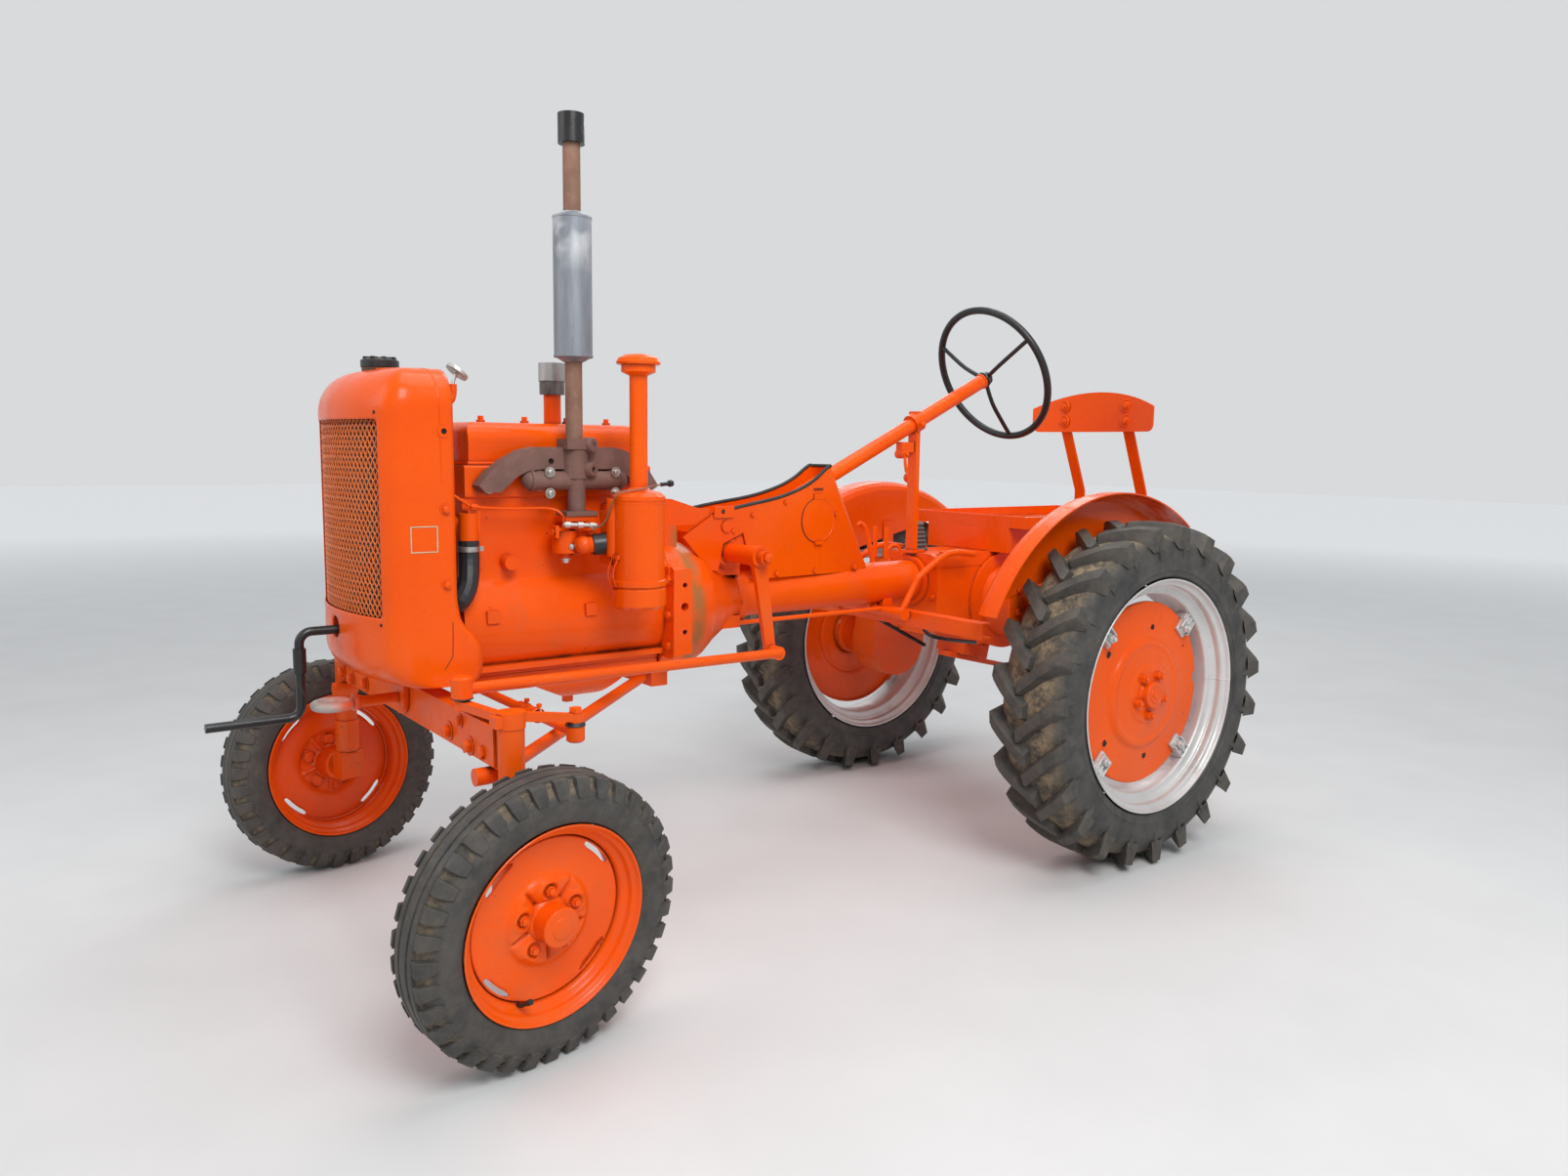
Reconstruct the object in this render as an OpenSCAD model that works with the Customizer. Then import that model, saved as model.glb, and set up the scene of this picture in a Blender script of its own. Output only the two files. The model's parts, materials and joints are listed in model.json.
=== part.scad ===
// A small vintage row-crop tractor, millimetres, +X forward, +Y to its left, +Z up.
// Sizes are taken from the rear axle; at_axle() moves each piece to the part's own origin,
// which is on the ground under the middle of the whole machine.

/* [Layout] */
// Distance from the rear axle to the front axle
wheelbase = 1803; // [1740:1:1860]
// Distance between the middles of the rear tyres
rear_track = 1166; // [1140:1:1240]
// Half the distance between the two kingpins
kingpin_y = 530; // [500:1:560]
// Level of the ground; the heights below start under it
ground_z = 16; // [12:1:20]
// Angle that the front wheels are turned to the left
steer = 8.5; // [0:0.5:12]
// Height of the crankshaft line and of the starting crank
crank_z = 750; // [735:1:765]
// Height of the torque tube's middle line
tube_z = 757; // [750:1:765]
// Radius of the torque tube
tube_r = 60; // [56:0.5:64]

/* [Rear wheels] */
// Outer radius of the rear tyre at its lugs
rear_tyre_r = 472; // [462:1:486]
// Width of the rear tyre
rear_tyre_w = 214; // [206:1:222]
// Lugs on each half of a rear tyre's tread
rear_lugs = 23; // [18:1:26]
// Height of the lugs
lug_h = 22; // [16:1:26]
// Half the width of a lug
lug_half = 18; // [14:0.5:22]
// Angle by which a lug's shoulder end trails its middle end
lug_sweep = 11.5; // [8:0.5:14]
// Radius of the rear rim where the bead sits
rear_seat_r = 305; // [300:1:310]
// Height of the rear rim's flange
rear_flange = 20; // [14:1:24]
// Width of the rear rim
rear_rim_w = 202; // [190:1:204]
// Thickness of the rear rim's steel
rear_rim_t = 6; // [4:0.5:8]
// Space between the cast centre disc and the rim's well
rear_disc_gap = 27; // [24:1:32]
// Thickness of the cast centre disc
rear_disc_t = 12; // [8:1:16]
// Radius of the rear hub
rear_hub_r = 58; // [50:1:64]

/* [Front wheels] */
// Outer radius of the front tyre
front_tyre_r = 273; // [268:1:282]
// Width of the front tyre
front_tyre_w = 120; // [114:1:128]
// Width of the front tyre's tread
front_tread_w = 92; // [84:1:100]
// Depth of the grooves between its ribs
rib_h = 7; // [5:0.5:9]
// Radius of the front rim where the bead sits
front_seat_r = 176; // [172:1:182]
// Height of the front rim's flange
front_flange = 14; // [10:1:18]
// Width of the front rim
front_rim_w = 108; // [100:1:114]
// Thickness of the front disc wheel's steel
front_rim_t = 4; // [3:0.5:6]
// Lean of the front wheels, tops outward
camber = 4.5; // [0:0.5:6]
// Distance from the kingpin to the middle of the front tyre
wheel_offset = 96; // [94:1:120]

/* [Front axle] */
// Top of the front axle beam
beam_top = 622; // [616:1:626]
// Height of the beam's front face
beam_h = 78; // [64:1:90]
// Depth of the beam from front to rear
beam_d = 44; // [36:1:56]
// Radius of the kingpins
kingpin_r = 16; // [13:0.5:18]
// Radius of the kingpin sleeves
sleeve_r = 25; // [22:0.5:28]
// Length of each steering arm behind its kingpin
tie_arm = 143; // [130:1:170]
// Length of the left knuckle's arm to the drag link
drag_arm = 175; // [160:1:190]
// Height of the tie rod
tie_z = 590; // [588:1:594]
// Radius of the tie rod
tie_r = 10; // [8:0.5:11]
// Radius of the drag link
drag_r = 12; // [9:0.5:14]
// Radius of the two radius rods
radius_rod_r = 13; // [10:0.5:15]

/* [Engine] */
// Length of the engine block
engine_len = 495; // [470:1:510]
// Radius of the barrel of the crankcase
crankcase_r = 150; // [142:1:158]
// Half width of the cylinder block
block_half = 112; // [104:1:118]
// Bottom face of the crankcase
rail_z = 650; // [640:1:656]
// Top face of the block
deck_z = 1028; // [1010:1:1040]
// Height of the cylinder head
head_h = 70; // [60:1:80]
// Height of the valve cover
cover_h = 94; // [80:1:104]
// Radius of the exhaust pipe
exhaust_r = 19; // [16:0.5:22]
// Radius of the muffler
muffler_r = 42; // [36:1:50]
// Top of the exhaust
exhaust_top = 1851; // [1780:1:1900]
// Radius of the air cleaner
cleaner_r = 57; // [50:1:62]

/* [Radiator shell] */
// Half width of the radiator shell
shell_half = 240; // [230:1:250]
// Thickness of the shell's sheet
shell_t = 5; // [3:0.5:7]
// Half width of the grille opening
grille_half = 203; // [190:1:206]
// Bottom of the grille opening
grille_low = 795; // [785:1:810]
// Top of the grille opening
grille_high = 1190; // [1170:1:1200]
// Width of the diamonds in the expanded metal of the grille
diamond_w = 26; // [20:0.5:30]
// Height of the diamonds
diamond_h = 28; // [20:0.5:32]
// Width of a strand of the expanded metal
strand_w = 3; // [2:0.1:4]
// Radius of the fan
fan_r = 134; // [120:1:140]

/* [Driver's place] */
// Slope of the steering column
column_slope = 25.7; // [22:0.1:28]
// Radius of the steering column
column_r = 21; // [18:0.5:24]
// Radius of the steering wheel, to the middle of its rim
wheel_r = 207; // [190:1:215]
// Radius of the steering wheel's rim
wheel_rim_r = 11; // [9:0.5:13]
// Length of the pitman arm
pitman_len = 244; // [230:1:250]
// Half width of the seat frame
seat_half = 236; // [225:1:245]
// Space between the rear tyre and its fender
fender_gap = 78; // [70:1:90]

/* [Hidden] */
$fn = 48;
paint = "orangered";
gap = 0.3;            // running gap between soft or seated curved faces
pin_gap = 0.05;       // radial clearance of a pin in its bore

// Along the machine, from the rear axle
trans_front_x = 300;
engine_front_x = wheelbase - 63;
engine_rear_x = engine_front_x - engine_len;
bell_plate_x = engine_rear_x - 27;
bell_rear_x = bell_plate_x - 268;
shell_front_x = wheelbase + 162;
shell_rear_x = wheelbase - 13;
cap_x = wheelbase + 53;
crank_elbow_x = wheelbase + 237;
crank_tip_x = wheelbase + 421;
seat_rear_x = -640;
x_mid = (crank_tip_x + seat_rear_x) / 2;

// Across the machine: drop housings and fenders stand inside the rear wheels
rear_axle_z = rear_tyre_r + ground_z;
rear_disc_r = rear_seat_r - 26 - rear_rim_t - rear_disc_gap;
drop_in = rear_track / 2 - 211;
drop_out = rear_track / 2 - 107;
fender_r = rear_tyre_r + fender_gap;
flat_y = rear_track / 2 - rear_tyre_w / 2 - 36;

// Front wheel and kingpin heights
hub_z = ground_z + front_tyre_r * cos(camber) + front_tread_w / 2 * sin(camber);
sleeve_top = beam_top + 2;
sleeve_low = 345;
head_low = sleeve_top + 0.5;
head_high = head_low + 31;
tie_x = wheelbase - tie_arm * cos(steer);
tie_shift = -tie_arm * sin(steer);
drag_front = [wheelbase + drag_arm * sin(steer), kingpin_y - drag_arm * cos(steer), 668];
socket_r = 18;
stud_r = 8;

// Engine heights
riser_x = engine_front_x - 13;
outlet_z = 1216;
fan_pin_r = 9;
crank_r = 9.5;
hose_r = 22;
duct_y = 205;
duct_z = 925;
head_top = deck_z + head_h;
cover_top = head_top + cover_h;
stack_x = wheelbase - 323;
stack_y = 150;
muffler_low = 1326;
muffler_high = 1647;
cleaner_x = wheelbase - 423;
cleaner_y = 262;

// Drive line and the driver's place
bell_z = 745;
pad_holes = [[704, 6], [765, 10], [817, 6]]; // height and radius of each
hole_depth = 34;
bracket_z = 951;
axle_z = 690;
trans_top = 840;
lever_seat = [238, -50, trans_top];
pedal_x = 470;
shell_bow = 606;

// Steering column: a line that climbs rearward from the steering box
box_x = bell_rear_x + 50;
box_z = 886;
column_dir = [-cos(column_slope), 0, sin(column_slope)];
column_len = 1085;
column_top = [box_x, 0, box_z] + column_len * column_dir;
pitman_x = bell_rear_x + 58;
pitman_z = 877;
pitman_y = 205;
pitman_lean = 9;

// Moves a piece from the rear axle to the part's origin.
module at_axle() {
  translate([-x_mid, 0, -ground_z]) children();
}

// The children as they are for the left side, mirrored for the right.
module on_side(side) {
  if (side > 0) children();
  else mirror([0, 1, 0]) children();
}

// A box between two corners.
module block(low, high) {
  translate(low) cube(high - low);
}

// A round bar between two points.
module bar(a, b, r) {
  d = b - a;
  len = norm(d);
  translate(a) rotate([0, acos(d[2] / len), atan2(d[1], d[0])]) cylinder(h = len, r = r);
}

function unit(v) = v / norm(v);

// Points of a smooth curve through the given ones, with steps points for each stretch.
function smooth(p, steps) = let (last = len(p) - 1) concat(
  [for (i = [0 : last - 1], j = [0 : steps - 1]) let (
    t = j / steps, a = p[max(i - 1, 0)], b = p[i], c = p[i + 1], d = p[min(i + 2, last)])
    b + t / 2 * (c - a) + t * t / 2 * (2 * a - 5 * b + 4 * c - d) + t * t * t / 2 * (3 * b - a - 3 * c + d)],
  [p[last]]);

// A round tube along a smooth curve; flat is a direction that the curve never runs along.
module swept(points, r, steps = 3, flat = [0, 1, 0], sides = 12) {
  path = smooth(points, steps);
  last = len(path) - 1;
  ends = len(points) - 1;
  rings = [for (i = [0 : last]) let (
    t = unit(i == 0 ? points[1] - points[0] : i == last ? points[ends] - points[ends - 1] :
      path[i + 1] - path[i - 1]), u = unit(cross(flat, t)), v = cross(t, u))
    for (k = [0 : sides - 1]) path[i] + r * (cos(360 * k / sides) * u + sin(360 * k / sides) * v)];
  polyhedron(rings, concat(
    [[for (k = [0 : sides - 1]) k]],
    [for (i = [0 : last - 1], k = [0 : sides - 1]) let (a = i * sides, b = (k + 1) % sides)
      [a + k, a + sides + k, a + sides + b, a + b]],
    [[for (k = [sides - 1 : -1 : 0]) last * sides + k]]));
}

// A shape drawn in x and z, as thick as from y0 to y1.
module side_shape(y0, y1) {
  translate([0, y1, 0]) rotate([90, 0, 0]) linear_extrude(y1 - y0) children();
}

// A shape drawn in y and z, as long as from x0 to x1.
module front_shape(x0, x1) {
  translate([x0, 0, 0]) rotate([90, 0, 90]) linear_extrude(x1 - x0) children();
}

// A rectangle with round corners between two corners.
module round_rect(low, high, r) {
  translate([low[0] + r, low[1]]) square([high[0] - low[0] - 2 * r, high[1] - low[1]]);
  translate([low[0], low[1] + r]) square([high[0] - low[0], high[1] - low[1] - 2 * r]);
  for (x = [low[0] + r, high[0] - r], y = [low[1] + r, high[1] - r]) translate([x, y]) circle(r = r);
}

// A cylinder along X from x0 to x1.
module x_rod(x0, x1, y, z, r) {
  translate([x0, y, z]) rotate([0, 90, 0]) cylinder(h = x1 - x0, r = r);
}

// A cylinder along Y from y0 to y1.
module y_rod(y0, y1, x, z, r) {
  translate([x, y0, z]) rotate([-90, 0, 0]) cylinder(h = y1 - y0, r = r);
}

// Places a wheel drawn about Z, outer side up, on its axle at the left.
module rear_place() {
  translate([0, rear_track / 2, rear_axle_z]) rotate([-90, 0, 0]) children();
}
module front_place() {
  translate([0, wheel_offset, hub_z]) rotate([-90 - camber, 0, 0]) children();
}

// What turns about a kingpin, drawn with the kingpin at the middle and the wheel straight.
module steered(side) {
  translate([wheelbase, side * kingpin_y, 0]) rotate([0, 0, steer]) on_side(side) children();
}

// Points of an arc, for outlines.
function arc(c, r, from, to, steps) =
  [for (i = [0 : steps]) let (a = from + (to - from) * i / steps) c + r * [cos(a), sin(a)]];

// Engine
module engine_block() {
  color(paint) at_axle() {
    difference() {
      union() {
        intersection() {
          x_rod(engine_rear_x, engine_front_x, 0, crank_z, crankcase_r);
          block([engine_rear_x, -crankcase_r, rail_z], [engine_front_x, crankcase_r, deck_z]);
        }
        block([engine_rear_x + 10, -block_half, crank_z], [engine_front_x - 14, block_half, deck_z]);
        block([engine_rear_x, -crankcase_r + 6, rail_z], [engine_front_x, crankcase_r - 6, rail_z + 12]);
        front_shape(engine_front_x - 12, engine_front_x)
          round_rect([-block_half, rail_z + 45], [block_half, 990], 40);
        x_rod(engine_front_x - 1, engine_front_x + 14, 0, 955, 30);
        for (boss = [[40, 8], [112, 30]])
          y_rod(block_half - 10, block_half + boss[1], engine_front_x - boss[0], 887, 16);
        for (x = [engine_front_x - 63, engine_front_x - 298])
          block([x - 14, block_half, crank_z + 8], [x + 14, crankcase_r + 5, crank_z + 36]);
        // Inlet neck for the lower hose
        block([engine_front_x - 38, block_half - 20, 958], [engine_front_x - 12, 150, 1004]);
        translate([engine_front_x - 14, 144, 940]) cylinder(h = 58, r = hose_r - 2);
      }
      x_rod(engine_front_x - 30, engine_front_x + 20, 0, 955, fan_pin_r + pin_gap);
    }
    // Crankshaft pulley in front of the block
    difference() {
      x_rod(engine_front_x, engine_front_x + 24, 0, crank_z, 58);
      translate([engine_front_x + 12, 0, crank_z]) rotate([0, 90, 0])
        rotate_extrude() translate([60, 0]) circle(r = 9, $fn = 24);
      x_rod(engine_front_x + 4, engine_front_x + 25, 0, crank_z, crank_r + pin_gap);
    }
  }
}

module oil_pan() {
  front = engine_front_x - 5;
  color(paint) at_axle() {
    intersection() {
      side_shape(-118, 118) polygon([
        [engine_rear_x + 2, rail_z], [front, rail_z], [front, 626], [front - 130, 618],
        [front - 210, 580], [front - 262, 556], [front - 345, 556], [front - 400, 600],
        [engine_rear_x + 2, 616]
      ]);
      front_shape(engine_rear_x, engine_front_x) union() {
        round_rect([-116, 556], [116, 700], 60);
        translate([-118, 636]) square([236, 20]);
      }
    }
    translate([front - 305, 0, 528]) cylinder(h = 30, r = 15, $fn = 6);
  }
}

module cylinder_head() {
  color(paint) at_axle() {
    front_shape(engine_rear_x + 22, engine_front_x - 18)
      round_rect([-118, deck_z], [118, head_top], 6);
    // Water outlet at the front of the head
    block([engine_front_x - 19, -45, deck_z + 6], [engine_front_x + 6, 45, head_top - 4]);
    translate([riser_x, 0, head_top - 20]) cylinder(h = outlet_z + 24 - head_top + 20, r = 17);
    x_rod(riser_x, riser_x + 26, 0, outlet_z, 19);
  }
}

module valve_cover() {
  rear = engine_rear_x + 26;
  front = engine_front_x - 32;
  color(paint) at_axle() {
    front_shape(rear, front) round_rect([-104, head_top], [104, head_top + 8], 3);
    intersection() {
      front_shape(rear + 6, front - 6) union() {
        round_rect([-92, head_top + 4], [92, cover_top], 42);
        translate([-92, head_top + 2]) square([184, 45]);
      }
      side_shape(-100, 100) union() {
        round_rect([rear + 6, head_top + 4], [front - 6, cover_top], 26);
        translate([rear + 6, head_top + 2]) square([front - rear - 12, 45]);
      }
    }
    for (i = [0 : 3]) translate([front - 72 - i * 105, 0, cover_top]) {
      translate([0, 0, -2]) cylinder(h = 8, r = 10);
      translate([0, 0, 5]) cylinder(h = 10, r = 7, $fn = 6);
    }
  }
}

// Exhaust arch, with the intake pipe below it, on the left of the head
module manifold() {
  arch_y0 = 118;
  arch_y1 = 158;
  color("saddlebrown") at_axle() {
    difference() {
      side_shape(arch_y0, arch_y1) translate([stack_x, 0]) polygon(concat(
        [[226, 1056], [212, 1042], [177, 1042]],
        [[157, 1059], [137, 1076], [113, 1087], [80, 1091]],
        [[-90, 1091], [-110, 1084], [-137, 1072], [-160, 1052]],
        [[-195, 1042], [-212, 1052]],
        [[-188, 1086], [-142, 1125], [-123, 1134], [-96, 1140]],
        [[96, 1139], [128, 1132], [168, 1111], [204, 1082]]
      ));
      y_rod(arch_y1 - 14, arch_y1 + 2, stack_x + 60, 1108, 7);
    }
    // Boss that carries the exhaust pipe
    difference() {
      union() {
        translate([stack_x, stack_y, 1070]) cylinder(h = 88, r = 30);
        block([stack_x - 32, arch_y0 + 10, 1135], [stack_x + 32, stack_y + 32, 1158]);
      }
      translate([stack_x, stack_y, 1146]) cylinder(h = 20, r = exhaust_r);
    }
    // Intake pipe with its down pipe and flange
    x_rod(stack_x - 110, stack_x + 105, arch_y0 + 32, 1066, 21);
    for (x = [stack_x - 110, stack_x + 105]) translate([x, arch_y0 + 32, 1066]) sphere(r = 21);
    for (x = [stack_x - 86, stack_x + 86]) y_rod(arch_y0, arch_y0 + 40, x, 1066, 22);
    translate([stack_x, arch_y0 + 40, 992]) cylinder(h = 80, r = 20);
    block([stack_x - 38, arch_y0 + 14, 988], [stack_x + 38, arch_y0 + 70, 998]);
  }
}

module carburettor() {
  y = 158;
  color(paint) at_axle() {
    block([stack_x - 38, y - 26, 976], [stack_x + 38, y + 26, 988]);
    translate([stack_x, y, 900]) cylinder(h = 77, r = 19);
    x_rod(stack_x - 38, stack_x + 50, y, 940, 22);
    translate([stack_x + 28, y, 906]) cylinder(h = 50, r = 30);
    translate([stack_x + 28, y, 892]) cylinder(h = 15, r = 12);
    y_rod(y, y + 38, stack_x + 20, 966, 6);
    x_rod(stack_x - 20, stack_x + 52, y + 34, 966, 5);
    // Elbow that takes the intake hose
    x_rod(stack_x - 14, stack_x + 6, duct_y, duct_z, 18);
    y_rod(y, duct_y, stack_x + 6, duct_z, 18);
    translate([stack_x + 6, duct_y, duct_z]) sphere(r = 19.5);
  }
}

module exhaust_pipe() {
  color("sienna") at_axle() translate([stack_x, stack_y, 0]) {
    translate([0, 0, 1146]) cylinder(h = muffler_low - 1146, r = exhaust_r);
    translate([0, 0, muffler_high]) cylinder(h = exhaust_top - 30 - muffler_high, r = exhaust_r);
  }
}

module muffler() {
  color("slategray") at_axle() translate([stack_x, stack_y, 0]) {
    translate([0, 0, muffler_low]) cylinder(h = 12, r1 = exhaust_r + 3, r2 = muffler_r);
    translate([0, 0, muffler_low + 12]) cylinder(h = muffler_high - muffler_low - 24, r = muffler_r);
    translate([0, 0, muffler_high - 12]) cylinder(h = 12, r1 = muffler_r, r2 = exhaust_r + 3);
  }
}

module rain_cap() {
  color("black") at_axle() translate([stack_x, stack_y, exhaust_top - 62]) difference() {
    cylinder(h = 62, r = exhaust_r + 10);
    translate([0, 0, -1]) cylinder(h = 33, r = exhaust_r);
  }
}

// Air cleaner: cup with its band, body, stack and the screened cap with its dome
module air_cleaner() {
  r = cleaner_r;
  color(paint) at_axle() translate([cleaner_x, cleaner_y, 0]) {
    rotate_extrude() polygon(concat(
      [[0, 784], [r - 6, 784], [r + 3, 792], [r + 3, 828], [r, 832]],
      [[r, 838], [r + 4, 840], [r + 4, 848], [r, 850], [r, 1022], [r + 2, 1026], [r + 2, 1034]],
      [[r - 8, 1042], [26, 1048], [20, 1054], [20, 1296]],
      [[38, 1304], [38, 1320], [47, 1320], [49, 1325], [44, 1334], [30, 1341], [0, 1344]]
    ));
    // Side duct toward the carburettor and the bracket to the block
    block([0, -r - 20, 880], [56, -30, 1000]);
    block([-14, block_half - cleaner_y, 980], [14, 8 - r, 1010]);
  }
}

module breather() {
  x = wheelbase - 342;
  color(paint) at_axle() translate([x, 0, cover_top]) {
    cylinder(h = 82, r = 20);
    translate([0, 0, 68]) cylinder(h = 30, r = 29);
    translate([0, 0, 98]) cylinder(h = 42, r = 31);
  }
}

// Generator on the right of the engine
module generator() {
  color(paint) at_axle() {
    x_rod(engine_rear_x + 190, engine_rear_x + 420, -165, 905, 52);
    x_rod(engine_rear_x + 420, engine_rear_x + 450, -165, 905, 40);
    block([engine_rear_x + 220, -150, 850], [engine_rear_x + 390, -block_half, 900]);
  }
}

// Radiator with its tanks, feet and side brackets
module radiator() {
  core_half = shell_half - shell_t - 40;
  back = shell_rear_x + 25;
  face = shell_rear_x + 105;
  color("dimgray") at_axle() {
    block([back, -core_half, 772], [face, core_half, 1200]);
    front_shape(back - 5, face + 5) round_rect([-core_half, 1196], [core_half, 1244], 20);
    for (s = [-1, 1]) {
      block([back + 10, s > 0 ? 110 : -185, 690], [face - 10, s > 0 ? 185 : -110, 773]);
      for (z = [850, 1120])
        block([back + 30, s > 0 ? core_half - 1 : -shell_half + shell_t, z],
              [back + 60, s > 0 ? shell_half - shell_t : -core_half + 1, z + 40]);
    }
    translate([cap_x, 0, 1240]) cylinder(h = 62, r = 26);
    // Inlet at the back of the top tank and outlet at the bottom left
    x_rod(back - 30, back, 0, outlet_z, hose_r - 2);
    x_rod(back - 15, back + 1, 120, 800, hose_r - 2);
  }
}

module radiator_cap() {
  color("black") at_axle() translate([cap_x, 0, 1302]) {
    cylinder(h = 14, r = 39);
    translate([0, 0, 14]) cylinder(h = 5, r1 = 39, r2 = 30);
  }
}

module temperature_gauge() {
  color("silver") at_axle() {
    translate([riser_x - 8, 0, outlet_z + 24]) cylinder(h = 54, r = 7);
    translate([riser_x - 8, 0, outlet_z + 84]) rotate([0, -35, 0]) {
      translate([0, 0, -12]) cylinder(h = 22, r = 26);
      translate([0, 0, 10]) cylinder(h = 4, r1 = 26, r2 = 23);
    }
  }
}

module coolant_hoses() {
  lower_end = shell_rear_x + 9.7;
  color("black") at_axle() {
    swept([
      [engine_front_x - 14, 144, 939.7], [engine_front_x - 14, 144, 900], [engine_front_x - 6, 156, 850],
      [engine_front_x + 12, 160, 817], [engine_front_x + 30, 144, 802],
      [lower_end - 18, 120, 800], [lower_end, 120, 800]
    ], hose_r);
    // Top hose from the head to the radiator, and the intake hose of the carburettor
    x_rod(riser_x + 26, shell_rear_x - 5, 0, outlet_z, hose_r);
    x_rod(cleaner_x + 56, stack_x - 14, duct_y, duct_z, 21);
  }
}

// Outline of the shell seen from the side, its front view and its plan
module shell_side(inset) {
  front = shell_front_x - inset;
  top_r = 62;
  low_r = 60;
  polygon(concat(
    [[shell_rear_x - 41, 1300 - inset], [shell_rear_x - 41, 1262], [shell_rear_x, 1190]],
    [[shell_rear_x, 835], [shell_rear_x - 12, 770], [shell_rear_x - 50, 722]],
    [[shell_rear_x - 50, 680], [shell_rear_x - 30, 650 + (inset > 0 ? -1 : 0)]],
    [for (p = arc([front - low_r, 650 + low_r + inset], low_r, -90, 0, 6)) p],
    [for (p = arc([front - top_r, 1258 - top_r - inset], top_r, 0, 78, 6)) p]
  ));
}

module shell_solid(inset) {
  half = shell_half - inset;
  intersection() {
    side_shape(-half, half) shell_side(inset);
    front_shape(shell_rear_x - 60, shell_front_x + 1)
      round_rect([-half, inset > 0 ? 600 : 640], [half, 1300 - inset], 78 - inset);
    translate([0, 0, 600]) linear_extrude(720) intersection() {
      translate([shell_front_x - shell_bow, 0]) circle(r = shell_bow - inset, $fn = 96);
      round_rect([shell_rear_x - 200, -half], [shell_front_x - inset, half], 70 - inset);
    }
  }
}

module grille_shell() {
  color(paint) at_axle() difference() {
    shell_solid(0);
    shell_solid(shell_t);
    block([shell_rear_x - 70, -shell_half + shell_t, 640], [shell_rear_x + 1, shell_half - shell_t, 1240]);
    block([shell_rear_x - 70, -shell_half + 60, 640], [wheelbase + 36, shell_half - 60, 660]);
    front_shape(shell_front_x - 120, shell_front_x + 10)
      round_rect([-grille_half, grille_low], [grille_half, grille_high], 14);
    x_rod(shell_front_x - 60, shell_front_x + 10, 0, crank_z + 6, 24);
    translate([cap_x, 0, 1200]) cylinder(h = 140, r = 28);
  }
}

// Thin sheet that follows the bow of the shell's front, behind its opening
module grille_sheet(lap, t) {
  face_r = shell_bow - shell_t - gap;
  tall = grille_high - grille_low + 2 * lap;
  intersection() {
    translate([shell_front_x - shell_bow, 0, grille_low - lap]) difference() {
      cylinder(h = tall, r = face_r);
      translate([0, 0, -1]) cylinder(h = tall + 2, r = face_r - t);
    }
    block([shell_front_x - 120, -grille_half - lap, grille_low - lap],
          [shell_front_x, grille_half + lap, grille_high + lap]);
  }
}

// Expanded metal: a bowed sheet with rows of diamonds, every other row half a diamond over
module grille_mesh() {
  half_w = diamond_w / 2 - strand_w / 2 * norm([diamond_w, diamond_h]) / diamond_h;
  half_h = half_w * diamond_h / diamond_w;
  columns = floor((grille_half - 2) / diamond_w);
  rows = floor((grille_high - grille_low - 4) / diamond_h);
  mid_z = (grille_low + grille_high) / 2;
  color(paint) at_axle() difference() {
    grille_sheet(6, 3);
    front_shape(shell_front_x - 130, shell_front_x + 10) for (odd = [0, 1])
      for (i = [-columns : columns - odd], k = [odd : rows - 1])
        translate([(i + odd / 2) * diamond_w, mid_z + (k + (1 - odd) / 2 - rows / 2) * diamond_h])
          polygon([[-half_w, 0], [0, -half_h], [half_w, 0], [0, half_h]]);
  }
}

module radial_bolts(count, ring_r, bolt_r, h) {
  for (i = [0 : count - 1]) rotate([0, 0, i * 360 / count]) translate([ring_r, 0, 0])
    cylinder(h = h, r = bolt_r, $fn = 6);
}

// Cast bolster under the radiator, with the pin on which the axle rocks
module axle_bolster() {
  pin_z = beam_top - 34;
  back = wheelbase - 35;
  face = wheelbase + 35;
  color(paint) at_axle() {
    block([engine_front_x, -200, 672], [shell_rear_x + 110, 200, 690]);
    for (x = [[back, wheelbase - beam_d / 2 - 1], [wheelbase + beam_d / 2 + 1, face]])
      front_shape(x[0], x[1]) union() {
        translate([0, pin_z]) circle(r = 36);
        translate([-36, pin_z]) square([72, 674 - pin_z]);
      }
    block([back, -110, 648], [face, 110, 673]);
    x_rod(back, face, 0, pin_z, 15);
  }
}

module front_axle() {
  pin_z = beam_top - 34;
  low = beam_top - beam_h;
  back = wheelbase - beam_d / 2;
  face = wheelbase + beam_d / 2;
  color(paint) at_axle() difference() {
    union() {
      difference() {
        block([back, -kingpin_y, low], [face, kingpin_y, beam_top]);
        for (s = [-1, 1]) on_side(s)
          block([back - 1, 50, low + 9], [face - 10, kingpin_y - 80, beam_top - 9]);
      }
      for (s = [-1, 1]) on_side(s) translate([wheelbase, kingpin_y, 0]) {
        translate([0, 0, 425]) cylinder(h = sleeve_top - 425, r = sleeve_r);
        translate([0, 0, sleeve_low]) cylinder(h = 81, r = sleeve_r + 4);
        // Cover plate and bolts on the end of the beam, and the pin below it
        block([beam_d / 2, -82, low - beam_top + sleeve_top + 2], [beam_d / 2 + 6, -18, sleeve_top]);
        x_rod(-10, 48, -62, low - 22, 17);
        block([-12, -76, low - 24], [12, -48, low + 1]);
      }
    }
    x_rod(back - 1, face + 1, 0, pin_z, 15 + pin_gap);
    for (s = [-1, 1]) on_side(s) translate([wheelbase, kingpin_y, sleeve_low - 1])
      cylinder(h = sleeve_top - sleeve_low + 2, r = kingpin_r + pin_gap);
  }
}

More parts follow.
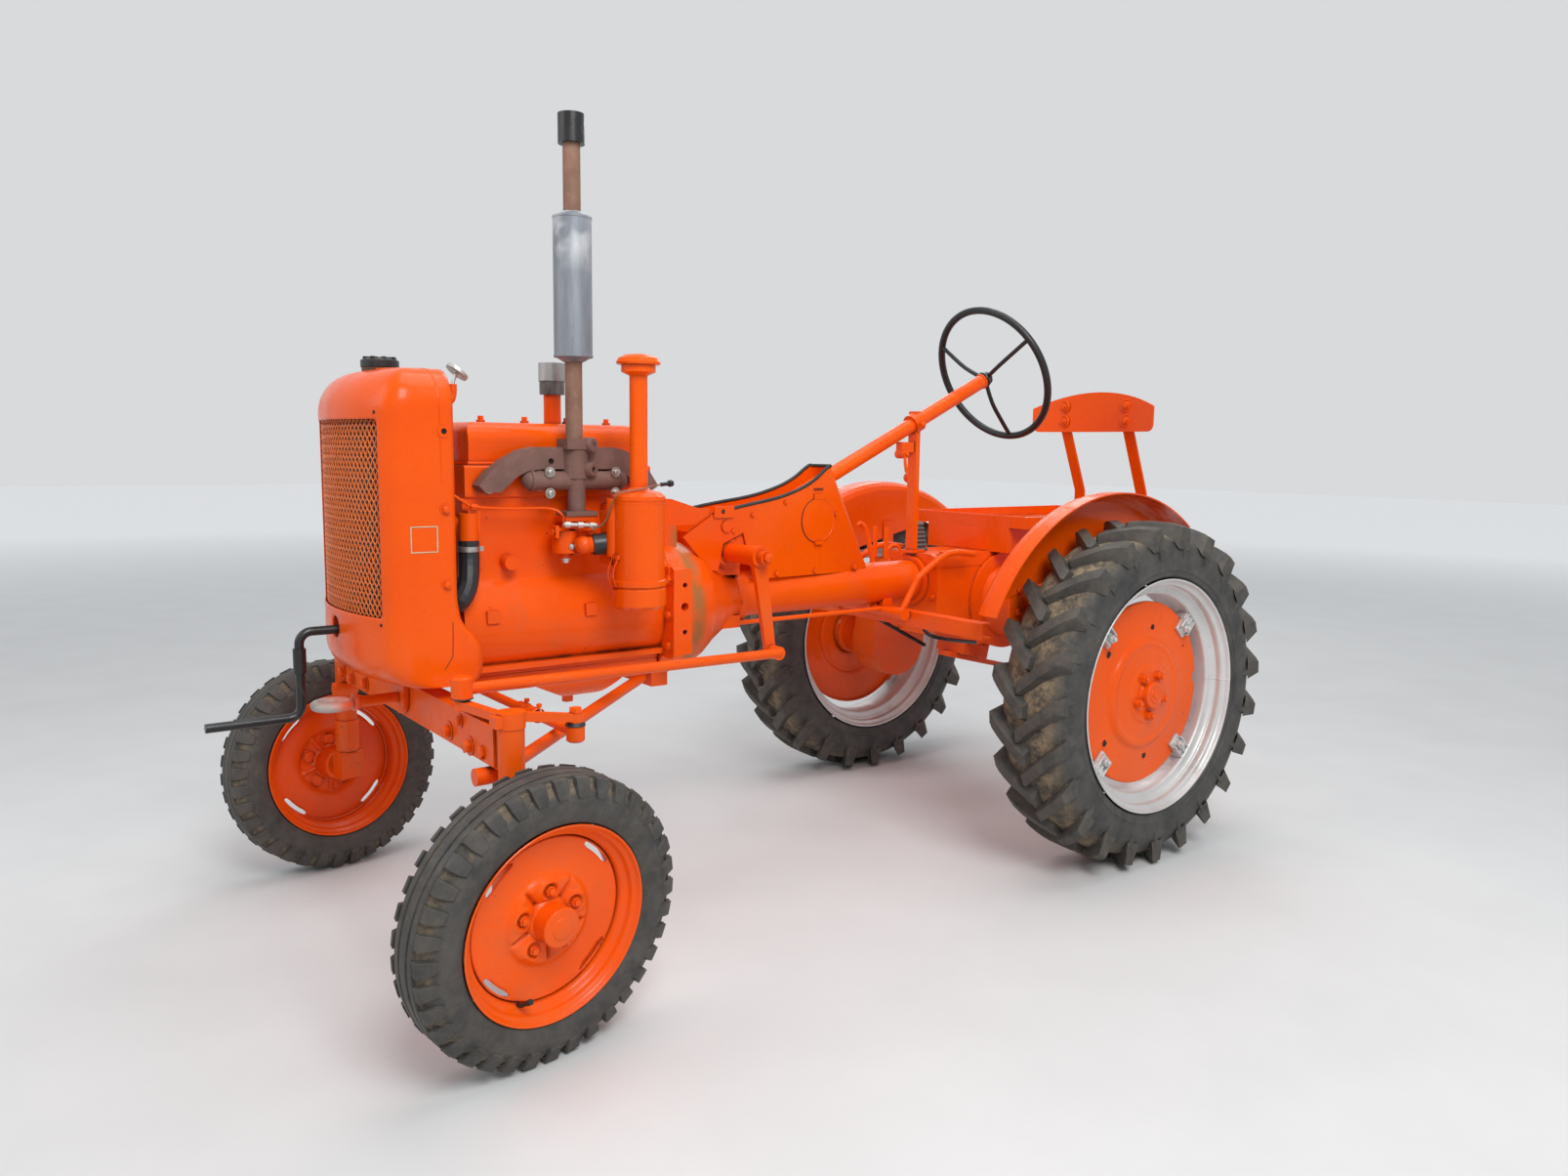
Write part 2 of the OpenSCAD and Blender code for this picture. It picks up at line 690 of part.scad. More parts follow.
// Two rods from the ends of the axle to a bracket under the bell housing
module radius_rods() {
  back = wheelbase - beam_d / 2;
  color(paint) at_axle() for (s = [-1, 1]) on_side(s) difference() {
    bar([back + 14, kingpin_y - 16, 550], [bell_plate_x + 22, 52, 582], radius_rod_r);
    block([back, kingpin_y - 120, 500], [back + 60, kingpin_y + 20, 620]);
    block([bell_plate_x - 18, 0, 500], [bell_plate_x + 44, 100, 640]);
  }
}

module tow_eye() {
  z = beam_top - 34;
  ring_x = wheelbase + 175;
  color("orangered") at_axle() {
    translate([ring_x, 0, z]) rotate_extrude() translate([34, 0]) circle(r = 10, $fn = 24);
    x_rod(wheelbase + 35, ring_x - 34, 0, z, 12);
    x_rod(ring_x - 52, ring_x - 42, 0, z, 18);
  }
}

// Drive line
module bell_cone() {
  translate([bell_rear_x, 0, bell_z]) rotate([0, 90, 0]) rotate_extrude() polygon([
    [0, 0], [74, 0], [74, 16], [70, 20], [84, 60], [112, 105], [146, 150], [165, 190],
    [172, 230], [172, engine_rear_x - bell_rear_x], [0, engine_rear_x - bell_rear_x]
  ]);
}

module bell_housing() {
  color(paint) at_axle() {
    difference() {
      union() {
        bell_cone();
        // Neck that carries the tank bracket
        block([bell_plate_x - 52, -72, bell_z + 120], [engine_rear_x, 72, bracket_z]);
        front_shape(bell_plate_x, engine_rear_x) round_rect([-190, 640], [190, 860], 12);
        for (s = [-1, 1]) on_side(s) block([bell_plate_x - 24, 120, 650], [engine_rear_x, 190, 854]);
      }
      for (s = [-1, 1], hole = pad_holes) on_side(s)
        y_rod(190 - hole_depth, 191, bell_plate_x - 4, hole[0], hole[1]);
    }
    // Lug at the front end of the clutch rod, and the bracket that holds the radius rods
    block([bell_rear_x + 24, 50, 680], [bell_rear_x + 80, 74, 712]);
    block([bell_plate_x - 18, -85, 556], [engine_rear_x, 85, 640]);
  }
}

// Bracket on the bell's neck that carried the front of the missing tank
module tank_bracket() {
  color(paint) at_axle() {
    block([bell_plate_x - 50, -72, bracket_z], [engine_rear_x - 4, 72, bracket_z + 4]);
    for (s = [-1, 1]) on_side(s) side_shape(68, 72) translate([bell_plate_x, 0]) polygon([
      [-154, 972], [-118, bracket_z], [20, bracket_z], [20, 1012], [-12, 1018],
      [-38, 1016], [-112, 993], [-152, 990]
    ]);
    block([bell_plate_x - 106, -70, 986], [bell_plate_x - 68, 70, 990]);
  }
}

module torque_tube() {
  color(paint) at_axle() {
    x_rod(trans_front_x, bell_rear_x, 0, tube_z, tube_r);
    x_rod(trans_front_x, trans_front_x + 14, 0, tube_z, 74);
  }
}

// Tapering half tube that closes the panel behind the column
module dash_wrap(inset) {
  hull() {
    translate([bell_rear_x - 282, 0, 1094]) scale([0.62, 1, 1]) cylinder(h = 1, r = 47.4 - inset, $fn = 32);
    translate([bell_rear_x - 434, 0, 808]) scale([0.62, 1, 1]) cylinder(h = 1, r = 34.6 - inset, $fn = 32);
  }
}

module dash_panel() {
  plate_t = 4;
  taper = 4.8;
  cover_r = 60;
  color(paint) at_axle() difference() {
    union() {
      for (s = [-1, 1]) on_side(s) translate([bell_rear_x + 200, 88, 0]) rotate([0, 0, taper]) difference() {
        side_shape(-plate_t, 0) polygon([
          [6, 922], [-88, 974], [-150, 987], [-266, 1005], [-368, 1029], [-444, 1063],
          [-484, 1094], [-546, 981], [-636, 808], [-604, 800], [-268, 802], [-74, 836]
        ]);
        if (s > 0) side_shape(-plate_t - 1, 1)
          polygon([[-104, 832], [-120, 901], [-186, 926], [-222, 809]]);
      }
      // Left plate: blank round cover with its catch and lip, a small cover and a folded tab
      translate([bell_rear_x + 200, 88, 0]) rotate([0, 0, taper]) {
        translate([-450, 0, 949]) {
          y_rod(-1, 3, 0, 0, cover_r);
          block([-17, -1, cover_r - 2], [17, 4, cover_r + 12]);
          block([-14, -1, -cover_r - 6], [14, 8, 4 - cover_r]);
        }
        y_rod(-1, 5, -128, 944, 15);
        difference() {
          block([-152, -1, 966], [-88, 4, 996]);
          y_rod(-6, 6, -116, 982, 6);
        }
      }
      // Cross webs between the plates
      block([bell_rear_x + 116, -78, 880], [bell_rear_x + 120, 78, 925]);
      block([bell_rear_x - 260, -48, 1000], [bell_rear_x - 230, 48, 1004]);
      difference() {
        dash_wrap(0);
        dash_wrap(plate_t);
        side_shape(-60, 60) translate([bell_rear_x, 0])
          polygon([[-281, 1096], [-434, 806], [-250, 806], [-190, 1096]]);
      }
    }
    bell_cone();
    x_rod(trans_front_x, bell_rear_x + 1, 0, tube_z, tube_r);
    bar([box_x, 0, box_z], column_top, column_r + gap);
  }
}

module steering_box() {
  color(paint) at_axle() {
    difference() {
      union() {
        translate([box_x, 0, box_z]) rotate([90, 0, 0]) cylinder(h = 130, r = 52, center = true);
        y_rod(0, 172, pitman_x, pitman_z, 24);
        y_rod(60, 70, pitman_x, pitman_z, 36);
        block([box_x - 40, -50, 815], [box_x + 40, 50, box_z]);
      }
      x_rod(bell_rear_x - 60, box_x + 60, 0, tube_z, tube_r);
      bell_cone();
      y_rod(100, 180, pitman_x, pitman_z, 13 + pin_gap);
      translate([box_x, 0, box_z]) rotate([0, -90 + column_slope, 0]) translate([0, 0, 40])
        cylinder(h = 100, r = column_r);
    }
  }
}

module steering_column() {
  post_x = 302;
  column_z = box_z + (box_x - post_x) * tan(column_slope);
  color(paint) at_axle() {
    difference() {
      bar([box_x, 0, box_z] + 40 * column_dir, column_top, column_r);
      bar(column_top - 60 * column_dir, column_top + 10 * column_dir, 10 + pin_gap);
    }
    difference() {
      union() {
        block([post_x - 9, -16, 842], [post_x + 9, 16, column_z + 34]);
        bar([post_x, 0, column_z] - 16 * column_dir, [post_x, 0, column_z] + 16 * column_dir, column_r + 9);
        block([post_x - 32, -24, trans_top], [post_x + 22, 24, trans_top + 8]);
      }
      bar([box_x, 0, box_z] + 600 * column_dir, column_top - 90 * column_dir, column_r - 1);
    }
  }
}

module transmission() {
  color(paint) at_axle() {
    y_rod(-112, 112, 0, axle_z, 150);
    front_shape(0, trans_front_x) round_rect([-98, 612], [98, 830], 34);
    front_shape(trans_front_x - 20, trans_front_x) round_rect([-112, 600], [112, trans_top], 40);
    block([-110, -112, 560], [120, 112, axle_z]);
    block([-60, -100, 800], [280, 100, trans_top]);
    for (s = [-1, 1]) on_side(s) {
      translate([0, 112, axle_z]) rotate([-90, 0, 0]) cylinder(h = 90, r1 = 112, r2 = 76);
      y_rod(202, drop_in - 10, 0, axle_z, 66);
    }
    // Boot of the gear lever
    translate(lever_seat) cylinder(h = 16, r1 = 34, r2 = 26);
    translate(lever_seat) cylinder(h = 60, r1 = 24, r2 = 18);
  }
}

// Drop housings that carry the rear wheels, one each side
module final_drives() {
  color(paint) at_axle() for (s = [-1, 1]) on_side(s) {
    difference() {
      union() {
        y_rod(drop_in, drop_out, 0, axle_z, 84);
        y_rod(drop_in, drop_out, 0, rear_axle_z, 118);
        side_shape(drop_in, drop_out) polygon([
          [-84, axle_z], [-116, rear_axle_z + 22], [116, rear_axle_z + 22], [84, axle_z]
        ]);
        y_rod(drop_out - 6, drop_out + 36, 0, rear_axle_z, 66);
      }
      y_rod(drop_out + 4, drop_out + 44, 0, rear_axle_z, 22 + pin_gap);
    }
    y_rod(drop_in - 10, drop_in + 1, 0, axle_z, 92);
  }
}

module footrest_bar() {
  x = 430;
  color(paint) at_axle() {
    difference() {
      block([x - 18, 8 - flat_y, 648], [x + 18, flat_y - 8, 692]);
      for (s = [-1, 1]) on_side(s) block([x - 19, 70, 654], [x + 12, flat_y, 686]);
    }
    difference() {
      block([x - 18, -44, 691], [x + 18, 44, 730]);
      x_rod(x - 19, x + 19, 0, tube_z, tube_r);
    }
  }
}

module controls() {
  color(paint) at_axle() {
    for (s = [-1, 1]) on_side(s) {
      swept([[pedal_x, 140, 684], [425, 148, 766], [405, 152, 792], [300, 153, 848], [196, 154, 842]], 9);
      y_rod(120, 160, pedal_x, 684, 17);
    }
    y_rod(-152, 152, pedal_x, 684, 12);
    x_rod(pedal_x, bell_rear_x + 24, 62, 690, 6);
    difference() {
      block([pedal_x - 16, -22, 684], [pedal_x + 16, 22, 714]);
      x_rod(pedal_x - 20, pedal_x + 20, 0, tube_z, tube_r);
    }
    swept([lever_seat + [0, 0, 60], lever_seat + [0, 0, 110], lever_seat + [30, -6, 220]], 8);
    translate(lever_seat + [30, -6, 220]) sphere(r = 16);
    swept([[361, -100, 790], [392, -104, 900], [420, -104, 925]], 8);
    difference() {
      block([345, -108, 760], [380, -50, 800]);
      x_rod(340, 385, 0, tube_z, tube_r);
    }
  }
}

module drawbar() {
  bar_slope = 13.8;
  bar_len = 470;
  color(paint) at_axle() {
    translate([150, 0, 519]) rotate([0, 180 - bar_slope, 0]) difference() {
      translate([0, -28, -8]) cube([bar_len, 56, 16]);
      translate([bar_len - 30, 0, -20]) cylinder(h = 40, r = 13);
    }
    // Carrier under the transmission
    difference() {
      translate([150, 0, 519]) rotate([0, 180 - bar_slope, 0])
        translate([20, -60, -60]) cube([110, 120, 52]);
      y_rod(-112, 112, 0, axle_z, 150);
      block([-110, -112, 560], [121, 112, axle_z]);
    }
  }
}

// Seat frame on the transmission: box, rails and the two back supports
module seat_base() {
  z0 = 915;
  color(paint) at_axle() {
    difference() {
      block([-240, -169, 840], [70, 169, z0]);
      block([-234, -163, 846], [64, 163, z0 + 1]);
    }
    difference() {
      block([seat_rear_x, -seat_half, z0], [66, seat_half, z0 + 36]);
      block([seat_rear_x + 5, -seat_half + 5, z0 + 5], [61, seat_half - 5, z0 + 37]);
      block([seat_rear_x + 40, -seat_half + 40, z0 - 1], [-300, seat_half - 40, z0 + 6]);
    }
    for (s = [-1, 1]) on_side(s) side_shape(108, 148) polygon([
      [seat_rear_x + 4, z0 + 20], [seat_rear_x + 4, 1010], [-547, 1222], [-547, 1310],
      [-539.8, 1310], [-539.8, 1220], [seat_rear_x + 12, 1008], [seat_rear_x + 12, z0 + 20]
    ]);
  }
}

module seat_back() {
  bow_r = 900;
  color(paint) at_axle() intersection() {
    translate([-546 + bow_r, 0, 1200]) difference() {
      cylinder(h = 160, r = bow_r, $fn = 128);
      translate([0, 0, -1]) cylinder(h = 162, r = bow_r - 6, $fn = 128);
    }
    front_shape(-560, -480) intersection() {
      round_rect([-248, 1212], [248, 1360], 26);
      translate([0, 1345 - 620]) circle(r = 620, $fn = 128);
    }
  }
}

// Fender: a flat inner panel and a crown that curves out over the tyre
module fender(side) {
  color(paint) at_axle() on_side(side) {
    intersection() {
      translate([0, flat_y, rear_axle_z - 8]) rotate([-90, 0, 0]) rotate_extrude() polygon([
        [0, 0], [fender_r - 24, 0], [fender_r - 10, 6], [fender_r, 20], [fender_r + 4, 40],
        [fender_r + 4, 84], [fender_r, 84], [fender_r, 42], [fender_r - 4, 23],
        [fender_r - 12, 10], [fender_r - 24, 4], [0, 4]
      ]);
      side_shape(flat_y - 1, flat_y + 100)
        polygon([[530, 715], [-320, 925], [-520, 1120], [0, 1300], [620, 1000]]);
    }
    // Foot on the axle housing, and the front bracket down to the footrest
    difference() {
      union() {
        block([-22, flat_y - 5, axle_z + 60], [22, flat_y, 900]);
        block([-22, flat_y - 40, axle_z + 60], [22, flat_y, axle_z + 90]);
      }
      y_rod(drop_in - 2, drop_out + 4, 0, axle_z, 84);
    }
    block([278, flat_y - 5, 650], [354, flat_y, 850]);
  }
}
module fender_left() { fender(1); }
module fender_right() { fender(-1); }

// Moving pieces of the front
module fan() {
  x = shell_rear_x - 22;
  color(paint) at_axle() {
    x_rod(engine_front_x - 20, x - 6, 0, 955, fan_pin_r);
    difference() {
      x_rod(engine_front_x + 15, x + 12, 0, 955, 42);
      translate([engine_front_x + 22, 0, 955]) rotate([0, 90, 0])
        rotate_extrude() translate([44, 0]) circle(r = 6, $fn = 24);
    }
    for (i = [0 : 3]) translate([x, 0, 955]) rotate([i * 90 + 45, 0, 0]) rotate([0, 0, 28])
      block([-2, -26, 30], [2, 26, fan_r - 4]);
  }
}

module crank_handle() {
  bend = 26;
  drop = 180;
  arm_x = crank_elbow_x;
  grip_z = crank_z - drop;
  color("dimgray") at_axle() {
    x_rod(engine_front_x + 5, arm_x - bend, 0, crank_z, crank_r);
    translate([arm_x - bend, 0, crank_z - bend]) rotate([90, 0, 0])
      rotate_extrude(angle = 90) translate([bend, 0]) circle(r = crank_r, $fn = 24);
    bar([arm_x, 0, crank_z - bend], [arm_x, 0, grip_z + bend], crank_r);
    bar([arm_x, 0, crank_z - 86], [arm_x, 0, crank_z - 34], 13);
    translate([arm_x + bend, 0, grip_z + bend]) rotate([90, 180, 0])
      rotate_extrude(angle = 90) translate([bend, 0]) circle(r = crank_r, $fn = 24);
    x_rod(arm_x + bend, crank_tip_x, 0, grip_z, crank_r);
  }
}

module steering_wheel() {
  dish = 52;
  color("black") at_axle() translate(column_top) rotate([0, -90 + column_slope, 0]) {
    translate([0, 0, -50]) cylinder(h = 52, r = 10);
    translate([0, 0, gap]) cylinder(h = 26, r1 = 24, r2 = 20);
    translate([0, 0, dish]) rotate_extrude() translate([wheel_r, 0]) circle(r = wheel_rim_r, $fn = 24);
    for (a = [60, 180, 300]) rotate([0, 0, a])
      swept([[12, 0, 14], [80, 0, 16], [wheel_r * 0.72, 0, 34], [wheel_r, 0, dish]], 6.5);
  }
}

module pitman_arm() {
  color(paint) at_axle() translate([pitman_x, 0, pitman_z]) rotate([0, pitman_lean, 0]) {
    y_rod(pitman_y - 32 + gap, pitman_y + 8, 0, 0, 26);
    y_rod(110, pitman_y - 31, 0, 0, 13);
    y_rod(pitman_y + 7, pitman_y + 30, 0, 0, 15);
    side_shape(pitman_y - 12, pitman_y + 2)
      polygon([[-20, -10], [20, -10], [14, -pitman_len], [-14, -pitman_len]]);
    y_rod(pitman_y - 14, pitman_y + 6, 0, -pitman_len, 17);
  }
}

// Drag link, parallel to the ground plane's steering arms, from the pitman arm to the left knuckle
module drag_link() {
  rear = [pitman_x - pitman_len * sin(pitman_lean), pitman_y + 30, pitman_z - pitman_len * cos(pitman_lean)];
  front = drag_front;
  color(paint) at_axle() {
    bar(rear, front - 14 * unit(front - rear), drag_r);
    y_rod(pitman_y + 9, pitman_y + 38, rear[0], rear[2], 17);
    translate(front) difference() {
      translate([0, 0, -16]) cylinder(h = 38, r = 21);
      translate([0, 0, -17]) cylinder(h = 25, r = stud_r + pin_gap);
    }
  }
}

module tie_rod() {
  color(paint) at_axle() translate([0, tie_shift, 0]) {
    difference() {
      union() {
        bar([tie_x, -kingpin_y, tie_z], [tie_x, kingpin_y, tie_z], tie_r);
        for (s = [-1, 1]) on_side(s) translate([tie_x, kingpin_y, tie_z - 14])
          cylinder(h = 28, r = socket_r);
        // Clamps of the adjusting sleeve near the left end
        bar([tie_x, 270, tie_z], [tie_x, 345, tie_z], tie_r + 4);
      }
      for (s = [-1, 1]) on_side(s) translate([tie_x, kingpin_y, tie_z - 8])
        cylinder(h = 40, r = stud_r + pin_gap);
    }
  }
}

// Steering knuckle: kingpin, clamped head with its arms, lower block and stub axle
module knuckle(side) {
  drag_z = drag_front[2];
  color(paint) at_axle() steered(side) {
    translate([0, 0, 300]) cylinder(h = head_high - 300, r = kingpin_r);
    translate([0, 0, head_low]) cylinder(h = head_high - head_low, r = 27);
    block([14, -12, head_low + 4], [38, 12, head_high - 5]);
    front_shape(-29, 29) round_rect([-29, 273], [29, sleeve_low - 0.5], 8);
    // Arm to the tie rod, with its stud and nut
    side_shape(-11, 11) polygon([
      [-20, head_high - 4], [-20, head_high - 22], [-tie_arm, tie_z + 23], [-tie_arm, tie_z + 38]
    ]);
    translate([-tie_arm, 0, tie_z + 22]) cylinder(h = 17, r = 16);
    translate([-tie_arm, 0, tie_z - 6]) cylinder(h = 30, r = stud_r);
    translate([-tie_arm, 0, tie_z + 38]) cylinder(h = 12, r = 13, $fn = 6);
    if (side > 0) {
      // Arm to the drag link
      block([-11, -drag_arm, drag_z - 38], [11, -20, drag_z - 22]);
      translate([0, -drag_arm, drag_z - 40]) cylinder(h = 20, r = 15);
      translate([0, -drag_arm, drag_z - 21]) cylinder(h = 26, r = stud_r);
    }
    front_place() {
      translate([0, 0, 10 - wheel_offset]) cylinder(h = wheel_offset - 66, r1 = 20, r2 = 18);
      translate([0, 0, -58]) cylinder(h = 62, r = 14);
    }
  }
}
module knuckle_left() { knuckle(1); }
module knuckle_right() { knuckle(-1); }

// Wheels, drawn about Z with the outer side up
module front_wheel(side) {
  seat = front_seat_r;
  lip = front_seat_r + front_flange;
  w = front_rim_w / 2;
  t = front_rim_t;
  color(paint) at_axle() steered(side) front_place() {
    rotate_extrude($fn = 72) polygon([
      [lip, -w], [lip, -w + t], [seat, -w + t], [seat, -w + 26], [seat - 16, -w + 34],
      [seat - 16, w - 34], [seat, w - 26], [seat, w - t], [lip, w - t], [lip, w],
      [seat - t, w], [seat - t, w - 24], [seat - 16 - t, w - 32], [seat - 16 - t, -w + 32],
      [seat - t, -w + 24], [seat - t, -w]
    ]);
    difference() {
      rotate_extrude($fn = 72) polygon([
        [40, 6], [92, 6], [104, -4], [seat - 40, 2], [seat - 17 - t, 16], [seat - 17, 16],
        [seat - 17, 22], [seat - 20 - t, 22], [seat - 42, 8], [104, 2], [92, 12], [40, 12]
      ]);
      for (a = [45 : 90 : 315]) rotate([0, 0, a]) translate([seat - 34, -34, -10])
        cube([8, 68, 50]);
    }
    difference() {
      union() {
        translate([0, 0, -54]) cylinder(h = 104, r = 41);
        translate([0, 0, 10]) cylinder(h = 10, r = 74);
        translate([0, 0, 50]) cylinder(h = 12, r = 34);
        translate([0, 0, 62]) cylinder(h = 5, r1 = 34, r2 = 26);
        translate([0, 0, 19]) radial_bolts(5, 58, 9, 10);
      }
      translate([0, 0, -60]) cylinder(h = 70, r = 14 + pin_gap);
      translate([0, 0, -60]) cylinder(h = 10, r = 30);
    }
  }
}
module front_wheel_left() { front_wheel(1); }
module front_wheel_right() { front_wheel(-1); }

module front_tyre(side) {
  seat = front_seat_r;
  lip = front_seat_r + front_flange;
  w = front_rim_w / 2 - front_rim_t;
  half = front_tyre_w / 2;
  tread = front_tread_w / 2;
  color("#222222") at_axle() steered(side) front_place() rotate_extrude($fn = 72) polygon(concat(
    [[seat, -w], [lip + 2, -w]],
    [[lip + 18, -half + 2], [lip + 34, -half], [front_tyre_r - 26, -half + 4]],
    [[front_tyre_r - 8, -tread - 3], [front_tyre_r, -tread]],
    [for (y = [-31, -13, 13, 31], p = [[0, -3], [rib_h, -2], [rib_h, 2], [0, 3]])
      [front_tyre_r - p[0], y + p[1]]],
    [[front_tyre_r, tread], [front_tyre_r - 8, tread + 3]],
    [[front_tyre_r - 26, half - 4], [lip + 34, half], [lip + 18, half - 2]],
    [[lip + 2, w], [seat, w]]
  ));
}
module front_tyre_left() { front_tyre(1); }
module front_tyre_right() { front_tyre(-1); }

// Cast centre of the rear wheel, notched at its edge, with its hub
module rear_disc(side) {
  low = 18;
  hub_in = -67;
  color(paint) at_axle() on_side(side) rear_place() difference() {
    union() {
      difference() {
        rotate_extrude($fn = 72) polygon([
          [0, low], [rear_disc_r, low], [rear_disc_r, low + rear_disc_t], [150, low + rear_disc_t],
          [138, low + rear_disc_t + 12], [104, low + rear_disc_t + 18], [0, low + rear_disc_t + 18]
        ]);
        for (a = [0 : 90 : 270]) rotate([0, 0, a]) translate([rear_disc_r + 14, 0, low - 1])
          cylinder(h = 40, r = 34);
      }
      translate([0, 0, hub_in]) cylinder(h = 62 - hub_in, r = rear_hub_r);
      translate([0, 0, 60]) cylinder(h = 10, r1 = 44, r2 = 38);
      translate([0, 0, 46]) radial_bolts(5, 78, 11, 14);
      translate([0, 0, hub_in - 26]) cylinder(h = 60, r = 22);
    }
    for (a = [22.5 : 45 : 360]) rotate([0, 0, a]) translate([190, 0, low - 1]) cylinder(h = 40, r = 10);
  }
}
module rear_disc_left() { rear_disc(1); }
module rear_disc_right() { rear_disc(-1); }

// Steel rim with the four clamps that hold it on the disc
module rear_rim(side) {
  seat = rear_seat_r;
  lip = rear_seat_r + rear_flange;
  w = rear_rim_w / 2;
  t = rear_rim_t;
  color("silver") at_axle() on_side(side) rear_place() {
    rotate_extrude($fn = 96) polygon([
      [lip, -w], [lip, -w + t], [seat, -w + t], [seat, -w + 40], [seat - 26, -w + 52],
      [seat - 26, w - 52], [seat, w - 40], [seat, w - t], [lip, w - t], [lip, w],
      [seat - t, w], [seat - t, w - 38], [seat - 26 - t, w - 50], [seat - 26 - t, -w + 50],
      [seat - t, -w + 38], [seat - t, -w]
    ]);
    for (a = [45 : 90 : 315]) rotate([0, 0, a]) {
      block([rear_disc_r - 34, -22, 30], [rear_disc_r + 10, 22, 44]);
      block([rear_disc_r + 2, -22, 10], [seat - 27, 22, 44]);
      translate([rear_disc_r - 14, 0, 44]) cylinder(h = 16, r = 12, $fn = 6);
    }
  }
}
module rear_rim_left() { rear_rim(1); }
module rear_rim_right() { rear_rim(-1); }

// One lug, from just past the middle of the tread over the shoulder to the side wall
module tread_lug() {
  half = rear_tyre_w / 2;
  crown_r = rear_tyre_r - lug_h;
  crest_r = sqrt(pow(rear_tyre_r, 2) - pow(lug_half, 2));
  // Columns: share of the sweep, place across the tyre, low and high radius, half width
  feet = [
    [0, -14, crown_r - 8, crest_r, lug_half],
    [1, half - 9, crown_r - 48, crest_r - 6, lug_half]
  ];
  hull() for (f = feet) rotate([0, 0, -lug_sweep * f[0]])
    block([f[2], -f[4], f[1]], [f[3], f[4], f[1] + 1]);
}

module rear_tyre(side) {
  seat = rear_seat_r / cos(90 / rear_lugs);
  lip = rear_seat_r + rear_flange;
  w = rear_rim_w / 2 - rear_rim_t;
  half = rear_tyre_w / 2;
  crown_r = rear_tyre_r - lug_h;
  color("#222222") at_axle() on_side(side) rear_place() {
    rotate_extrude($fn = 2 * rear_lugs) polygon([
      [seat, -w], [lip + 4, -w], [lip + 46, -half], [crown_r - 28, 3 - half], [crown_r, 40 - half],
      [crown_r, half - 40], [crown_r - 28, half - 3], [lip + 46, half], [lip + 4, w], [seat, w]
    ]);
    for (way = [0, 1], i = [0 : rear_lugs - 1])
      mirror([0, 0, way]) rotate([0, 0, (i + way / 2) * 360 / rear_lugs]) tread_lug();
  }
}
module rear_tyre_left() { rear_tyre(1); }
module rear_tyre_right() { rear_tyre(-1); }

engine_block();
oil_pan();
cylinder_head();
valve_cover();
manifold();
carburettor();
exhaust_pipe();
muffler();
rain_cap();
air_cleaner();
breather();
generator();
radiator();
radiator_cap();
temperature_gauge();
coolant_hoses();
grille_shell();
grille_mesh();
axle_bolster();
front_axle();
radius_rods();
tow_eye();
bell_housing();
tank_bracket();
torque_tube();
dash_panel();
steering_box();
steering_column();
transmission();
final_drives();
footrest_bar();
controls();
drawbar();
seat_base();
seat_back();
fender_left();
fender_right();
fan();
crank_handle();
steering_wheel();
pitman_arm();
drag_link();
tie_rod();
knuckle_left();
knuckle_right();
front_wheel_left();
front_wheel_right();
front_tyre_left();
front_tyre_right();
rear_disc_left();
rear_disc_right();
rear_rim_left();
rear_rim_right();
rear_tyre_left();
rear_tyre_right();
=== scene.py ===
import json
import math

import bpy
from mathutils import Matrix, Vector


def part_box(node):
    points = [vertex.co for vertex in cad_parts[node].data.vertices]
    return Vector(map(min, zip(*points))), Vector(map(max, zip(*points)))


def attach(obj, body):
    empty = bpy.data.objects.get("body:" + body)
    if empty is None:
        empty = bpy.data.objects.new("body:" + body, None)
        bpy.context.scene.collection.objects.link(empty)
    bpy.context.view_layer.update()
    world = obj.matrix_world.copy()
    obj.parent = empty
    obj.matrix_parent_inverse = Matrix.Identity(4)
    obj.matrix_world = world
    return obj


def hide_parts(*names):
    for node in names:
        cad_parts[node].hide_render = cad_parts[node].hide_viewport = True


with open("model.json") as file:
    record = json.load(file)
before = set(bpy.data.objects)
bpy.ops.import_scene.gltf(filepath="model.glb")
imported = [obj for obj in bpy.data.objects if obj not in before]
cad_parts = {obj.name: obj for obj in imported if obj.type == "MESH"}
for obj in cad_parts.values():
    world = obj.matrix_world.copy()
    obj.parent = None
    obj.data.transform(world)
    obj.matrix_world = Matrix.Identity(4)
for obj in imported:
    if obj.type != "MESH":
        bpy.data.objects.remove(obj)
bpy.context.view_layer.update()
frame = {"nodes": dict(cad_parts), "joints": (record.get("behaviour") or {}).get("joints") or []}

# Small vintage tractor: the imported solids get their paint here,
# and tyres, mesh, bolts and trim are made around them.
nodes = frame["nodes"]
joints = {joint["name"]: joint for joint in frame["joints"]}
print("frame loaded,", len(nodes), "nodes")


# Mesh helpers: every shape is a list of points and a list of faces, gathered in a bag for each piece

class MeshBag:
    def __init__(self):
        self.points = []
        self.faces = []
        self.marks = []  # one number a point, such as how muddy it is

    def add(self, shape, matrix=None, mark=0.0):
        points, faces = shape
        first = len(self.points)
        for point in points:
            self.points.append(matrix @ Vector(point) if matrix else Vector(point))
            self.marks.append(mark)
        self.faces += [tuple(first + i for i in face) for face in faces]

    def make(self, name, body, material, smooth=35, bevel=0.0, replaces=()):
        mesh = bpy.data.meshes.new(name)
        mesh.from_pydata(self.points, [], self.faces)
        mesh.validate()
        marks = mesh.attributes.new("mark", "FLOAT", "POINT")
        marks.data.foreach_set("value", self.marks)
        piece = bpy.data.objects.new(name, mesh)
        bpy.context.scene.collection.objects.link(piece)
        mesh.materials.append(material)
        if bevel:
            bevelEdges(piece, bevel, 32)
        if smooth:
            mesh.shade_smooth()
            sharpenEdges(mesh, smooth)
        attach(piece, body)
        if replaces:
            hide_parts(*replaces)
        return piece


